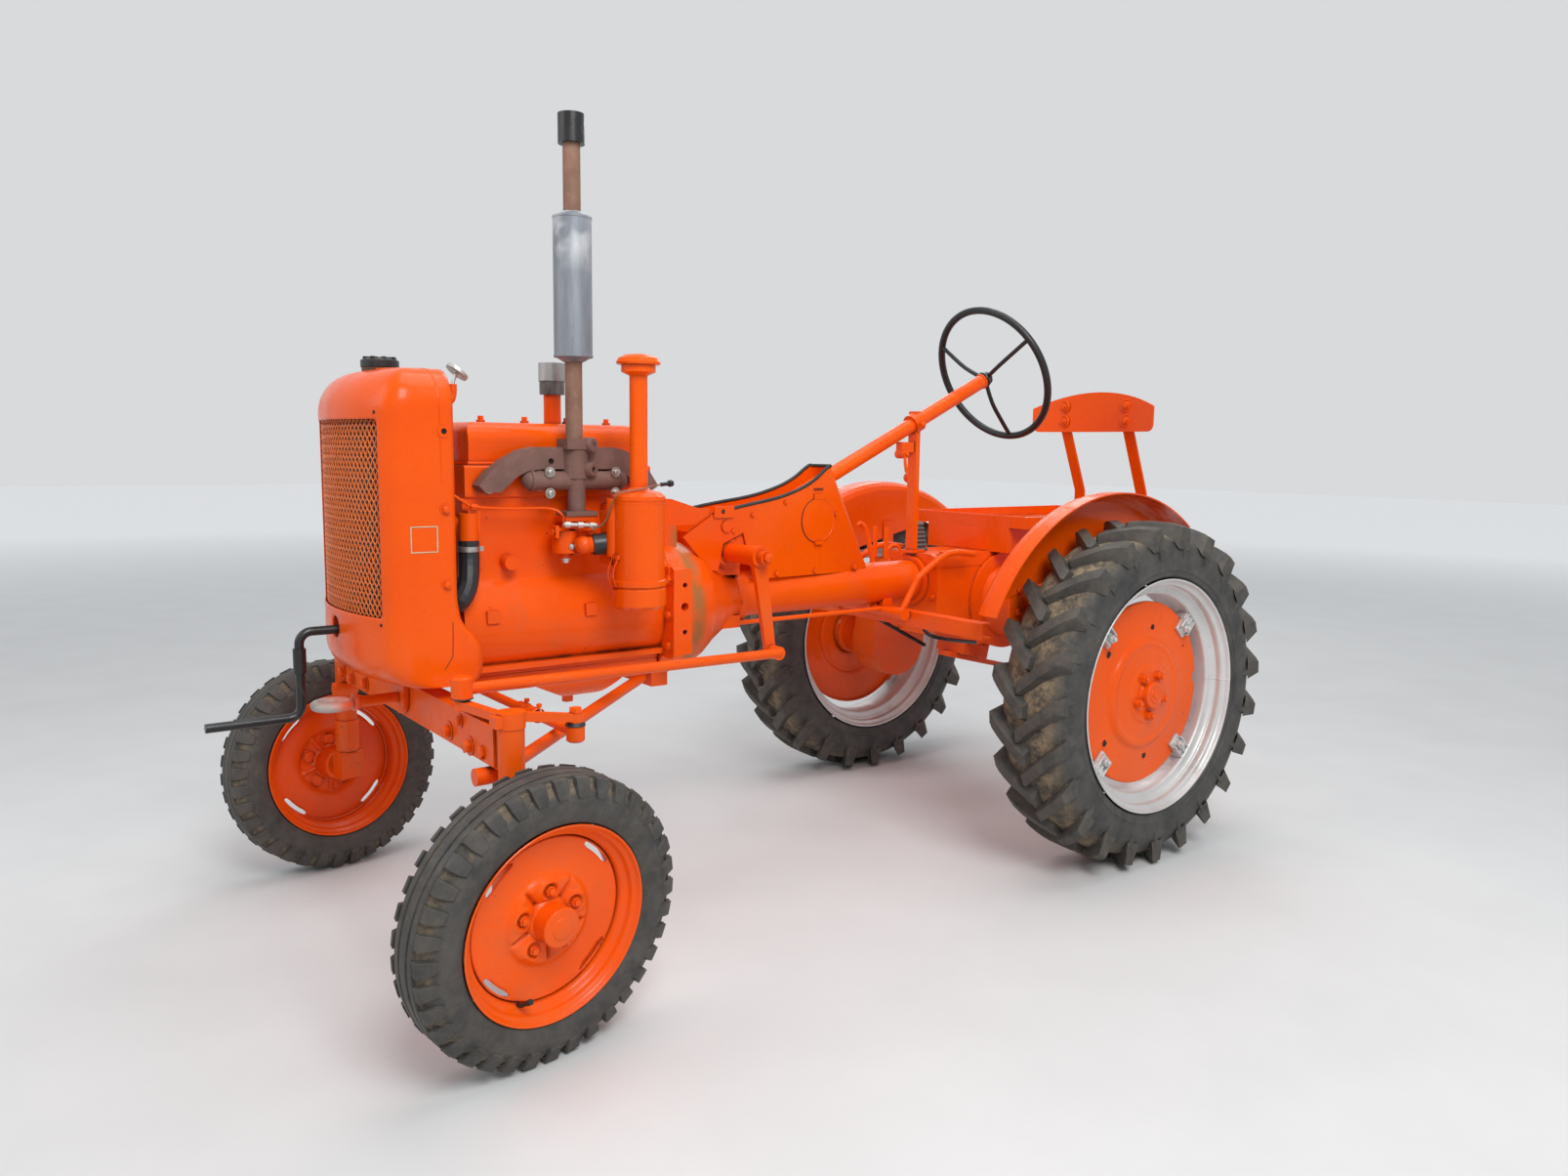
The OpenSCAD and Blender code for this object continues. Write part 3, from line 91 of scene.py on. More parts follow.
def sharpenEdges(mesh, degrees):
    mesh.set_sharp_from_angle(angle=math.radians(degrees))


def bevelEdges(piece, width, degrees):
    edge = piece.modifiers.new("edges", "BEVEL")
    edge.width = width
    edge.segments = 2
    edge.limit_method = "ANGLE"
    edge.angle_limit = math.radians(degrees)


def weldPoints(piece, reach):
    weld = piece.modifiers.new("weld", "WELD")
    weld.merge_threshold = reach


def thicken(piece, thickness):
    solid = piece.modifiers.new("sheet", "SOLIDIFY")
    solid.thickness = thickness
    solid.offset = -1


def around(radius, turn, height):
    # a place on a circle about Z
    return radius * math.cos(turn), radius * math.sin(turn), height


def lathe(profile, steps=48):
    # turns (radius, height) points about Z
    points = []
    faces = []
    rows = len(profile)
    for i in range(steps):
        points += [around(r, 2 * math.pi * i / steps, h) for r, h in profile]
        a = i * rows
        b = ((i + 1) % steps) * rows
        faces += [(a + k, b + k, b + k + 1, a + k + 1) for k in range(rows - 1)]
    return points, faces


def beadRing(radius, out, half, middle=0.0, bevel=0.001):
    # profile of a narrow ring that stands out round a pipe, for lathe
    low, high = middle - half, middle + half
    return [(radius, low), (radius + out, low + bevel), (radius + out, high - bevel), (radius, high)]


def plug(radius, low, high, steps=24, top=None):
    # a closed round bar from low to high, with another radius at its top if one is given
    end = radius if top is None else top
    turns = [2 * math.pi * i / steps for i in range(steps)]
    points = [around(radius, turn, low) for turn in turns] + [around(end, turn, high) for turn in turns]
    faces = [(i, (i + 1) % steps, steps + (i + 1) % steps, steps + i) for i in range(steps)]
    faces.append(tuple(range(steps - 1, -1, -1)))
    faces.append(tuple(range(steps, 2 * steps)))
    return points, faces


def brick(low, high):
    x0, y0, z0 = low
    x1, y1, z1 = high
    points = [(x0, y0, z0), (x1, y0, z0), (x1, y1, z0), (x0, y1, z0),
              (x0, y0, z1), (x1, y0, z1), (x1, y1, z1), (x0, y1, z1)]
    return points, [(3, 2, 1, 0), (4, 5, 6, 7), (0, 1, 5, 4), (1, 2, 6, 5), (2, 3, 7, 6), (3, 0, 4, 7)]


def smoothPath(points, steps=6):
    # points of a soft curve through the given ones
    p = [Vector(q) for q in points]
    path = []
    for i in range(len(p) - 1):
        a, b, c, d = p[max(i - 1, 0)], p[i], p[i + 1], p[min(i + 2, len(p) - 1)]
        for k in range(steps):
            t = k / steps
            path.append(b + (c - a) * t / 2 + (2 * a - 5 * b + 4 * c - d) * t * t / 2
                        + (3 * b - a - 3 * c + d) * t ** 3 / 2)
    return path + [p[-1]]


def tube(path, radius, sides=10, flat=1.0):
    # a bar along a path, flattened where flat is below 1
    path = [Vector(q) for q in path]
    points = []
    faces = []
    side = None
    for i, here in enumerate(path):
        ahead = (path[min(i + 1, len(path) - 1)] - path[max(i - 1, 0)]).normalized()
        if side is None:
            side = ahead.orthogonal().normalized()
        side = (side - ahead * side.dot(ahead)).normalized()
        up = ahead.cross(side)
        for k in range(sides):
            turn = 2 * math.pi * k / sides
            points.append(here + side * radius * math.cos(turn) + up * radius * flat * math.sin(turn))
    for i in range(len(path) - 1):
        for k in range(sides):
            n = (k + 1) % sides
            faces.append((i * sides + k, i * sides + n, (i + 1) * sides + n, (i + 1) * sides + k))
    faces.append(tuple(range(sides - 1, -1, -1)))
    faces.append(tuple((len(path) - 1) * sides + k for k in range(sides)))
    return points, faces


def facing(place, direction, turn=0.0):
    # the matrix that puts a shape drawn about Z at a place, with Z along the direction
    aim = Vector(direction).normalized().to_track_quat("Z", "Y").to_matrix().to_4x4()
    return Matrix.Translation(Vector(place)) @ aim @ Matrix.Rotation(turn, 4, "Z")


def boltInto(bag, place, direction, size=0.008, washer=True, turn=0.3, mark=0.0):
    # a hexagon head with its washer and the end of its thread
    spot = facing(place, direction, turn)
    if washer:
        bag.add(plug(size * 1.45, -0.001, 0.0022, 20), spot, mark)
    bag.add(plug(size, 0.0, 0.0022 + size * 0.75, 6), spot, mark)
    bag.add(plug(size * 0.8, 0.0022 + size * 0.7, 0.0022 + size * 0.86, 20, size * 0.6), spot, mark)


def wheelSpot(jointName, side):
    # a wheel's own axes: its middle, Z along the axle to the outside, Y up, X back on the left side
    joint = joints[jointName]
    out = Vector(joint["axis"]).normalized() * (1 if side == "left" else -1)
    across = Vector((0, 0, 1)).cross(out).normalized()
    axes = Matrix((across, out.cross(across), out)).transposed().to_4x4()
    return Matrix.Translation(Vector(joint["pos_m"])) @ axes


def reachOf(node, spot):
    # radius and half width of a packed wheel, about its own axle
    inside = spot.inverted()
    local = [inside @ v.co for v in nodes[node].data.vertices]
    return max(math.hypot(v.x, v.y) for v in local), max(abs(v.z) for v in local)


# Material helpers

def shaderOf(tree):
    return next(n for n in tree.nodes if n.type == "BSDF_PRINCIPLED")


def newMaterial(name, roughness=0.5, metallic=0.0, coat=0.0, coatRoughness=0.1):
    material = bpy.data.materials.new(name)
    material.use_nodes = True
    tree = material.node_tree
    shader = shaderOf(tree)
    shader.inputs["Roughness"].default_value = roughness
    shader.inputs["Metallic"].default_value = metallic
    shader.inputs["Coat Weight"].default_value = coat
    shader.inputs["Coat Roughness"].default_value = coatRoughness
    return material, tree, shader


def position(tree):
    return tree.nodes.new("ShaderNodeTexCoord").outputs["Object"]


def cloud(tree, scale, detail=4.0, stretch=(1, 1, 1), roughness=0.55, shift=(0, 0, 0)):
    # a noise value from 0 to 1 in the object's own place
    mapping = tree.nodes.new("ShaderNodeMapping")
    mapping.inputs["Scale"].default_value = stretch
    mapping.inputs["Location"].default_value = shift
    texture = tree.nodes.new("ShaderNodeTexNoise")
    texture.inputs["Scale"].default_value = scale
    texture.inputs["Detail"].default_value = detail
    texture.inputs["Roughness"].default_value = roughness
    tree.links.new(position(tree), mapping.inputs["Vector"])
    tree.links.new(mapping.outputs["Vector"], texture.inputs["Vector"])
    return texture.outputs["Fac"]


def between(tree, value, low, high, toLow=0.0, toHigh=1.0):
    # maps low..high of a value to toLow..toHigh
    step = tree.nodes.new("ShaderNodeMapRange")
    step.inputs["From Min"].default_value = low
    step.inputs["From Max"].default_value = high
    step.inputs["To Min"].default_value = toLow
    step.inputs["To Max"].default_value = toHigh
    tree.links.new(value, step.inputs["Value"])
    return step.outputs["Result"]


def clouded(tree, scale, detail, low, high, toLow=0.0, toHigh=1.0, **kind):
    # soft patches: a cloud in which low..high becomes toLow..toHigh
    return between(tree, cloud(tree, scale, detail, **kind), low, high, toLow, toHigh)


def roughen(tree, shader, scale, low, high, detail=4):
    # the gloss wanders between two values of roughness
    tree.links.new(clouded(tree, scale, detail, 0.3, 0.7, low, high), shader.inputs["Roughness"])


def maths(tree, operation, *values):
    step = tree.nodes.new("ShaderNodeMath")
    step.operation = operation
    for i, value in enumerate(values):
        if isinstance(value, (int, float)):
            step.inputs[i].default_value = value
        else:
            tree.links.new(value, step.inputs[i])
    return step.outputs[0]


def times(tree, a, b):
    return maths(tree, "MULTIPLY", a, b)


def plus(tree, a, b):
    return maths(tree, "ADD", a, b)


def mixed(tree, share, a, b):
    # colour a where share is 0 and colour b where it is 1
    step = tree.nodes.new("ShaderNodeMix")
    step.data_type = "RGBA"
    tree.links.new(share, step.inputs["Factor"])
    for socket, value in ((step.inputs["A"], a), (step.inputs["B"], b)):
        target = [s for s in step.inputs if s.name == socket.name and s.type == "RGBA"][0]
        if isinstance(value, (tuple, list)):
            target.default_value = (*value, 1.0)
        else:
            tree.links.new(value, target)
    return [s for s in step.outputs if s.type == "RGBA"][0]


def coordinate(tree, axis):
    split = tree.nodes.new("ShaderNodeSeparateXYZ")
    tree.links.new(position(tree), split.inputs[0])
    return split.outputs[axis]


def creases(tree, distance, low, high):
    # 0 on open faces, 1 in corners and narrow gaps; it sets where shade is painted in
    closed = tree.nodes.new("ShaderNodeAmbientOcclusion")
    closed.samples = 6
    closed.inputs["Distance"].default_value = distance
    return between(tree, closed.outputs["AO"], high, low)


def bumpBy(tree, shader, height, strength, distance, before=None):
    step = tree.nodes.new("ShaderNodeBump")
    step.inputs["Strength"].default_value = strength
    step.inputs["Distance"].default_value = distance
    tree.links.new(height, step.inputs["Height"])
    if before is not None:
        tree.links.new(before, step.inputs["Normal"])
    tree.links.new(step.outputs["Normal"], shader.inputs["Normal"])
    return step.outputs["Normal"]


# Paint and metals

orangePaint = {
    "colour": (0.96, 0.110, 0.0),
    "shade": (0.85, 0.080, 0.0),
    "dust": (0.30, 0.17, 0.09),
    "rust": (0.13, 0.045, 0.02),
    # dark brown for the painted shade in corners and narrow gaps
    "grimeAndShade": (0.075, 0.026, 0.012),
}


def makePaint(name, grain, grainDepth, gloss, dirt, chips, lowDust=0.35, colour=None, corners=0.9):
    # orange enamel: grain is the casting's skin, dirt the share of grime, chips the share of worn spots,
    # corners the share of painted shade in corners and gaps
    material, tree, shader = newMaterial(name, gloss, coat=0.12, coatRoughness=0.08)
    shader.inputs["Specular IOR Level"].default_value = 0.2
    colour = mixed(tree, clouded(tree, 2.6, 3, 0.35, 0.7), colour or orangePaint["colour"],
                   colour or orangePaint["shade"])
    grimeAndShade = clouded(tree, 9, 7, 0.56, 0.78, 0, dirt, roughness=0.7)
    colour = mixed(tree, grimeAndShade, colour, orangePaint["dust"])
    low = between(tree, coordinate(tree, "Z"), 0.75, 0.15, 0, lowDust)
    low = times(tree, low, clouded(tree, 14, 6, 0.38, 0.7, roughness=0.7))
    colour = mixed(tree, low, colour, orangePaint["dust"])
    spots = clouded(tree, 95, 3, 0.72 - chips * 0.1, 0.75 - chips * 0.1, roughness=0.6)
    patches = clouded(tree, 7, 2, 0.5, 0.62, shift=(3, 1, 2))
    spots = times(tree, spots, patches)
    colour = mixed(tree, spots, colour, orangePaint["rust"])
    # painted shade: corners and narrow gaps turn dark brown, in patches
    held = clouded(tree, 30, 4, 0.3, 0.6, corners / 2, corners)
    corner = times(tree, creases(tree, 0.014, 0.42, 0.74), held)
    colour = mixed(tree, corner, colour, orangePaint["grimeAndShade"])
    tree.links.new(colour, shader.inputs["Base Color"])
    rough = clouded(tree, 22, 5, 0.3, 0.75, gloss - 0.07, gloss + 0.16)
    rough = plus(tree, rough, times(tree, grimeAndShade, 0.4))
    tree.links.new(rough, shader.inputs["Roughness"])
    wave = bumpBy(tree, shader, cloud(tree, 9, 2), 0.25, 0.0015)
    bumpBy(tree, shader, cloud(tree, grain, 5, roughness=0.65), 0.55, grainDepth, wave)
    return material


sheetPaint = makePaint("orange_sheet", 420, 0.00012, 0.24, 0.10, 0.1)
castPaint = makePaint("orange_casting", 190, 0.0006, 0.34, 0.22, 0.35)
wheelPaint = makePaint("orange_wheel", 300, 0.0002, 0.28, 0.14, 0.15, lowDust=0.18, corners=0.55)


def makeRusty(name, dark, brown, bright, grain, roughness=0.75):
    material, tree, shader = newMaterial(name, roughness)
    colour = mixed(tree, clouded(tree, 12, 6, 0.35, 0.65, roughness=0.65), dark, brown)
    flakes = clouded(tree, 60, 5, 0.58, 0.75, 0, 0.75, roughness=0.7, shift=(5, 2, 1))
    tree.links.new(mixed(tree, flakes, colour, bright), shader.inputs["Base Color"])
    roughen(tree, shader, 40, roughness - 0.15, roughness + 0.15)
    coarse = bumpBy(tree, shader, cloud(tree, 45, 6, roughness=0.7), 0.5, 0.0012)
    bumpBy(tree, shader, cloud(tree, grain, 4, roughness=0.7), 0.5, 0.0006, coarse)
    return material


manifoldRust = makeRusty("rusty_casting", (0.155, 0.078, 0.062), (0.215, 0.110, 0.086), (0.30, 0.15, 0.10),
                         240)
pipeRust = makeRusty("rusty_pipe", (0.20, 0.105, 0.068), (0.31, 0.165, 0.110), (0.40, 0.23, 0.16), 200, 0.7)


def makeMuffler():
    material, tree, shader = newMaterial("grey_muffler", 0.5, 0.35)
    streak = cloud(tree, 30, 5, stretch=(1, 1, 0.12), roughness=0.6)
    colour = mixed(tree, between(tree, streak, 0.35, 0.7), (0.20, 0.22, 0.25), (0.34, 0.36, 0.40))
    height = coordinate(tree, "Z")
    bright = times(tree, between(tree, height, 1.50, 1.56), clouded(tree, 9, 3, 0.42, 0.55))
    colour = mixed(tree, bright, colour, (0.55, 0.56, 0.58))
    rust = clouded(tree, 26, 6, 0.6, 0.75, 0, 0.5, stretch=(1, 1, 0.3), roughness=0.7, shift=(2, 7, 0))
    colour = mixed(tree, rust, colour, (0.16, 0.10, 0.07))
    tree.links.new(colour, shader.inputs["Base Color"])
    tree.links.new(between(tree, streak, 0.3, 0.7, 0.38, 0.62), shader.inputs["Roughness"])
    bumpBy(tree, shader, cloud(tree, 70, 4), 0.3, 0.0006)
    return material


def makeDark(name, colour, worn, roughness, wear, grain=220, depth=0.0003, metallic=0.0, dust=0.0):
    # black enamel, rubber or dark steel with worn spots and some dust
    material, tree, shader = newMaterial(name, roughness, metallic)
    share = clouded(tree, 35, 6, 0.6 - wear * 0.15, 0.78 - wear * 0.15, roughness=0.7)
    tone = mixed(tree, share, colour, worn)
    if dust:
        share = clouded(tree, 8, 6, 0.42, 0.72, 0, dust, roughness=0.7)
        tone = mixed(tree, share, tone, (0.16, 0.12, 0.085))
    tree.links.new(tone, shader.inputs["Base Color"])
    roughen(tree, shader, 30, roughness - 0.1, roughness + 0.12)
    bumpBy(tree, shader, cloud(tree, grain, 4, roughness=0.6), 0.4, depth)
    return material


mufflerGrey = makeMuffler()
blackEnamel = makeDark("black_enamel", (0.012, 0.012, 0.013), (0.10, 0.085, 0.07), 0.32, 0.25)
wheelBlack = makeDark("steering_wheel_black", (0.010, 0.010, 0.011), (0.035, 0.033, 0.03), 0.38, 0.1,
                      90, 0.0002)
hoseRubber = makeDark("hose_rubber", (0.018, 0.019, 0.022), (0.05, 0.05, 0.052), 0.42, 0.2, 160, 0.0003)
edgeRubber = makeDark("edge_rubber", (0.02, 0.02, 0.02), (0.06, 0.055, 0.05), 0.6, 0.2,
                      140, 0.0004, dust=0.25)
bareSteel = makeDark("bare_steel", (0.48, 0.46, 0.43), (0.28, 0.22, 0.17), 0.36, 0.5, 180, 0.0003, 0.85)
brightSteel = makeDark("bright_steel", (0.62, 0.61, 0.58), (0.40, 0.36, 0.31), 0.42, 0.45, 200, 0.0003, 0.75)
silverPaint = makeDark("silver_clamps", (0.62, 0.62, 0.61), (0.40, 0.38, 0.35), 0.42, 0.4,
                       200, 0.0005, 0.35, 0.15)
gearBoot = makeDark("grey_bellows", (0.10, 0.11, 0.11), (0.18, 0.17, 0.16), 0.6, 0.4, 120, 0.0004, dust=0.4)
holeBlack = makeDark("hole_black", (0.008, 0.007, 0.006), (0.02, 0.015, 0.01), 0.8, 0.2)


def makeRim():
    material, tree, shader = newMaterial("silver_rim", 0.42, 0.45)
    colour = mixed(tree, clouded(tree, 5, 4, 0.35, 0.7), (0.70, 0.70, 0.69), (0.56, 0.555, 0.54))
    stain = clouded(tree, 17, 6, 0.55, 0.75, 0, 0.6, roughness=0.7)
    colour = mixed(tree, stain, colour, (0.40, 0.33, 0.26))
    tree.links.new(colour, shader.inputs["Base Color"])
    roughen(tree, shader, 26, 0.34, 0.58, 5)
    bumpBy(tree, shader, cloud(tree, 60, 5), 0.3, 0.0004)
    return material


rimPaint = makeRim()

rubberLook = {"black": (0.030, 0.030, 0.030), "faded": (0.078, 0.073, 0.066), "mud": (0.26, 0.19, 0.115)}


def makeTyreRubber(name, mudShare):
    # faded rubber; mud sits where the mesh is marked, and a little dust everywhere
    material, tree, shader = newMaterial(name, 0.7)
    faded = clouded(tree, 18, 6, 0.35, 0.7, roughness=0.65)
    tone = mixed(tree, faded, rubberLook["black"], rubberLook["faded"])
    dust = clouded(tree, 30, 7, 0.48, 0.75, 0, 0.4, roughness=0.75)
    tone = mixed(tree, dust, tone, (0.13, 0.105, 0.08))
    marked = tree.nodes.new("ShaderNodeAttribute")
    marked.attribute_name = "mark"
    clods = clouded(tree, 24, 8, 0.40, 0.56, roughness=0.75)
    mud = times(tree, times(tree, marked.outputs["Fac"], clods), mudShare)
    soil = mixed(tree, clouded(tree, 120, 5, 0.3, 0.7), rubberLook["mud"], (0.34, 0.26, 0.165))
    tone = mixed(tree, mud, tone, soil)
    tree.links.new(tone, shader.inputs["Base Color"])
    tree.links.new(between(tree, mud, 0, 1, 0.62, 0.95), shader.inputs["Roughness"])
    skin = bumpBy(tree, shader, cloud(tree, 150, 5, roughness=0.65), 0.5, 0.0006)
    bumpBy(tree, shader, times(tree, mud, cloud(tree, 60, 6)), 0.9, 0.004, skin)
    return material


rearRubber = makeTyreRubber("rear_tyre_rubber", 0.95)
frontRubber = makeTyreRubber("front_tyre_rubber", 0.55)


def makeRadiator():
    # dark matt fins, closely spaced along Z, with upright water tubes
    material, tree, shader = newMaterial("radiator_grey", 0.6)
    colour = mixed(tree, clouded(tree, 20, 5, 0.35, 0.7), (0.022, 0.022, 0.023), (0.055, 0.05, 0.045))
    tree.links.new(colour, shader.inputs["Base Color"])
    before = None
    for direction, scale, depth in (("Z", 62, 0.001), ("Y", 16, 0.002)):
        waves = tree.nodes.new("ShaderNodeTexWave")
        waves.bands_direction = direction
        waves.inputs["Scale"].default_value = scale
        tree.links.new(position(tree), waves.inputs["Vector"])
        before = bumpBy(tree, shader, waves.outputs["Fac"], 0.6, depth, before)
    return material


radiatorGrey = makeRadiator()


def makeBreather():
    # orange pipe below, a dark band and a bright zinc can above
    material = makePaint("breather_zinc", 190, 0.0004, 0.34, 0.2, 0.3)
    tree = material.node_tree
    shader = shaderOf(tree)
    paint = shader.inputs["Base Color"].links[0].from_socket
    height = coordinate(tree, "Z")
    streaks = cloud(tree, 40, 5, stretch=(1, 1, 0.3), roughness=0.7)
    band = mixed(tree, between(tree, streaks, 0.4, 0.65), (0.11, 0.10, 0.095), (0.26, 0.25, 0.24))
    can = mixed(tree, between(tree, streaks, 0.4, 0.65), (0.50, 0.50, 0.49), (0.33, 0.33, 0.33))
    colour = mixed(tree, between(tree, height, 1.2425, 1.2435), paint, band)
    colour = mixed(tree, between(tree, height, 1.2745, 1.2755), colour, can)
    tree.links.new(colour, shader.inputs["Base Color"])
    tree.links.new(between(tree, height, 1.2425, 1.2435, 0, 0.6), shader.inputs["Metallic"])
    return material


def makeWorn(name, centre, axis, reach, colour, strength, patch):
    # orange casting paint that is worn away in patches near one place along an axis
    material = makePaint(name, 190, 0.0006, 0.34, 0.25, 0.4)
    tree = material.node_tree
    shader = shaderOf(tree)
    paint = shader.inputs["Base Color"].links[0].from_socket
    away = maths(tree, "ABSOLUTE", plus(tree, coordinate(tree, axis), -centre))
    near = between(tree, away, reach, reach * 0.25, 0, strength)
    patches = clouded(tree, 16, 7, patch, patch + 0.24, roughness=0.7)
    tree.links.new(mixed(tree, times(tree, near, patches), paint, colour), shader.inputs["Base Color"])
    return material


breatherZinc = makeBreather()
bellPaint = makeWorn("bell_worn_band", 0.368, "X", 0.034, (0.30, 0.15, 0.045), 0.85, 0.26)
eyePaint = makeWorn("tow_eye_worn", 1.225, "X", 0.095, (0.42, 0.39, 0.36), 1.0, 0.22)
capRust = makeRusty("cap_rust", (0.07, 0.045, 0.035), (0.16, 0.085, 0.05), (0.24, 0.13, 0.07), 200, 0.6)
print("materials made")


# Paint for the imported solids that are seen; the others get a piece of their own further on

sheetNodes = ["dash_panel", "fender_left", "fender_right", "seat_back", "seat_base", "air_cleaner",
              "valve_cover", "tank_bracket", "steering_column"]
castNodes = ["engine_block", "oil_pan", "cylinder_head", "carburettor", "generator", "axle_bolster",
             "front_axle", "torque_tube", "steering_box", "transmission", "final_drives", "footrest_bar",
             "controls", "drawbar", "radius_rods", "fan", "pitman_arm", "drag_link", "tie_rod",
             "knuckle_left", "knuckle_right"]
otherNodes = {
    "manifold": manifoldRust, "exhaust_pipe": pipeRust, "muffler": mufflerGrey, "rain_cap": blackEnamel,
    "bell_housing": bellPaint, "tow_eye": eyePaint, "breather": breatherZinc, "radiator": radiatorGrey,
    "radiator_cap": blackEnamel, "coolant_hoses": hoseRubber, "crank_handle": blackEnamel,
    "steering_wheel": wheelBlack,
}


def paintNode(name, material):
    node = nodes[name]
    node.data.materials.clear()
    node.data.materials.append(material)


for name in sheetNodes:
    paintNode(name, sheetPaint)
for name in castNodes:
    paintNode(name, castPaint)
for name, material in otherNodes.items():
    paintNode(name, material)


def softenEdges(name, width):
    # rounds the hard edges of a casting or a pressing
    node = nodes[name]
    weldPoints(node, 0.00002)
    bevelEdges(node, width, 50)
    normals = node.modifiers.new("normals", "WEIGHTED_NORMAL")
    normals.keep_sharp = False


softNodes = {"manifold": 0.004, "seat_base": 0.0015, "bell_housing": 0.003, "footrest_bar": 0.002,
             "front_axle": 0.003, "steering_box": 0.004, "pitman_arm": 0.003, "axle_bolster": 0.003,
             "transmission": 0.004, "drawbar": 0.002, "engine_block": 0.004, "cylinder_head": 0.002,
             "carburettor": 0.0015, "generator": 0.002, "final_drives": 0.004, "steering_column": 0.0015,
             "knuckle_left": 0.002, "knuckle_right": 0.002, "drag_link": 0.002, "tie_rod": 0.002,
             "oil_pan": 0.004}
for name, width in softNodes.items():
    softenEdges(name, width)
print("solids painted")


# Tyres

def wholeSection(half):
    # both halves of a ring's section, given as (radius, distance from the middle) up to its middle
    return half + [(r, -z) for r, z in reversed(half[:-1])]


def blockFaces(rows):
    # faces over rows of four points, closed at both ends
    faces = []
    for k in range(rows - 1):
        faces += [(4 * k + c, 4 * k + c + 1, 4 * k + c + 5, 4 * k + c + 4) for c in range(3)]
    last = 4 * rows
    return faces + [(0, 1, 2, 3), (last - 1, last - 2, last - 3, last - 4)]


rearTyre = {
    "lugs": 23,          # on each half of the tread
    "lugWidth": 0.0215,  # half of a lug, along the tread
    "sweep": 11.5,       # degrees between a lug's two ends
    "carcass": 0.023,    # depth from the lug tips to the tread
    "beadRadius": 0.325,
    # side wall: (height over the bead, distance in from the widest place)
    "wall": ((0, 0.013), (0.005, 0.007), (0.016, 0.006), (0.018, 0.0035), (0.023, 0.0025), (0.026, 0.0045),
             (0.05, 0.005), (0.07, 0.005)),
    # shoulder: (depth under the middle of the tread, distance in from the widest place)
    "shoulder": ((0.040, 0.010), (0.024, 0.018), (0.012, 0.032), (0.004, 0.055), (0.001, 0.085)),
    # corners of a lug's section: (share of its width, at its foot or top)
    "lugCorners": ((1.30, "foot"), (0.80, "top"), (-0.80, "top"), (-1.18, "foot")),
}


def makeRearTyre(side):
    look = rearTyre
    spot = wheelSpot("rear_" + side + "_spin", side)
    tip, half = reachOf("rear_tyre_" + side, spot)
    crown = tip - look["carcass"]
    section = [(look["beadRadius"] + up, half - inside) for up, inside in look["wall"]]
    section += [(crown - down, half - inside) for down, inside in look["shoulder"]]
    section = wholeSection(section + [(crown, 0)])
    steps = look["lugs"] * 8
    bag = MeshBag()
    bag.add(lathe(section, steps), spot)
    for i, (r, a) in enumerate(section * steps):
        bag.marks[i] = max(0.0, min(1.0, (half - 0.012 - abs(a)) / 0.03)) if r > crown - 0.03 else 0.0

    # a lug runs from just past the middle to an upright end at the shoulder
    # columns: place across, top radius, foot radius, share of the width
    stations = [(-0.014, tip - 0.004, crown - 0.004, 0.80), (-0.006, tip, crown - 0.004, 1.0),
                (0.030, tip, crown - 0.004, 1.0), (0.060, tip - 0.0005, crown - 0.006, 1.0),
                (half - 0.034, tip - 0.002, crown - 0.012, 1.0),
                (half - 0.012, tip - 0.007, crown - 0.030, 1.02),
                (half - 0.002, tip - 0.012, crown - 0.046, 0.92)]
    # its pointed heel on the side wall: place across, share of the width, radius
    heel = [(half - 0.006, 0.95, crown - 0.022), (half - 0.0005, 0.80, crown - 0.030),
            (half - 0.001, 0.42, crown - 0.060), (half - 0.007, 0.06, crown - 0.088)]
    sweep = math.radians(look["sweep"])
    forward = -1 if side == "left" else 1  # the middle of the chevron leads as the wheel rolls forward
    for way in (-1, 1):
        for i in range(look["lugs"]):
            middle = 2 * math.pi * (i + (0.5 if way < 0 else 0)) / look["lugs"]
            points = []
            for across, top, foot, widen in stations:
                lag = sweep * ((max(0.0, across) / half) ** 0.9)
                for share, level in look["lugCorners"]:
                    radius = top if level == "top" else foot
                    turn = middle + forward * (lag + look["lugWidth"] * widen * share / radius)
                    points.append(around(radius, turn, across * way))
            bag.add((points, blockFaces(len(stations))), spot, 0.12)
            points = []
            for across, widen, radius in heel:
                for share, sink in ((0.9, 0.010), (0.45, 0), (-0.45, 0), (-0.9, 0.010)):
                    reach = look["lugWidth"] * widen * share
                    turn = middle + forward * (sweep + (reach + (crown - radius) * 0.10) / radius)
                    points.append(around(radius, turn, (across - sink) * way))
            bag.add((points, blockFaces(len(heel))), spot, 0.05)
    bag.make("rear_tyre_tread_" + side, "rear_" + side, rearRubber, 40, 0.0022,
             ["rear_tyre_" + side])


frontTyre = {
    "blocks": 36,        # shoulder blocks on each side
    "groove": 0.008,     # depth of the grooves
    "beadRadius": 0.188,
    "narrow": 0.0033,    # the square shoulders stay this far inside the rounder packed tyre
    "steps": 138,
    # side wall: (height over the bead, distance in from the widest place)
    "wall": ((0, 0.011), (0.004, 0.006), (0.012, 0.004), (0.014, 0.0025), (0.030, 0.001), (0.046, 0.001)),
}


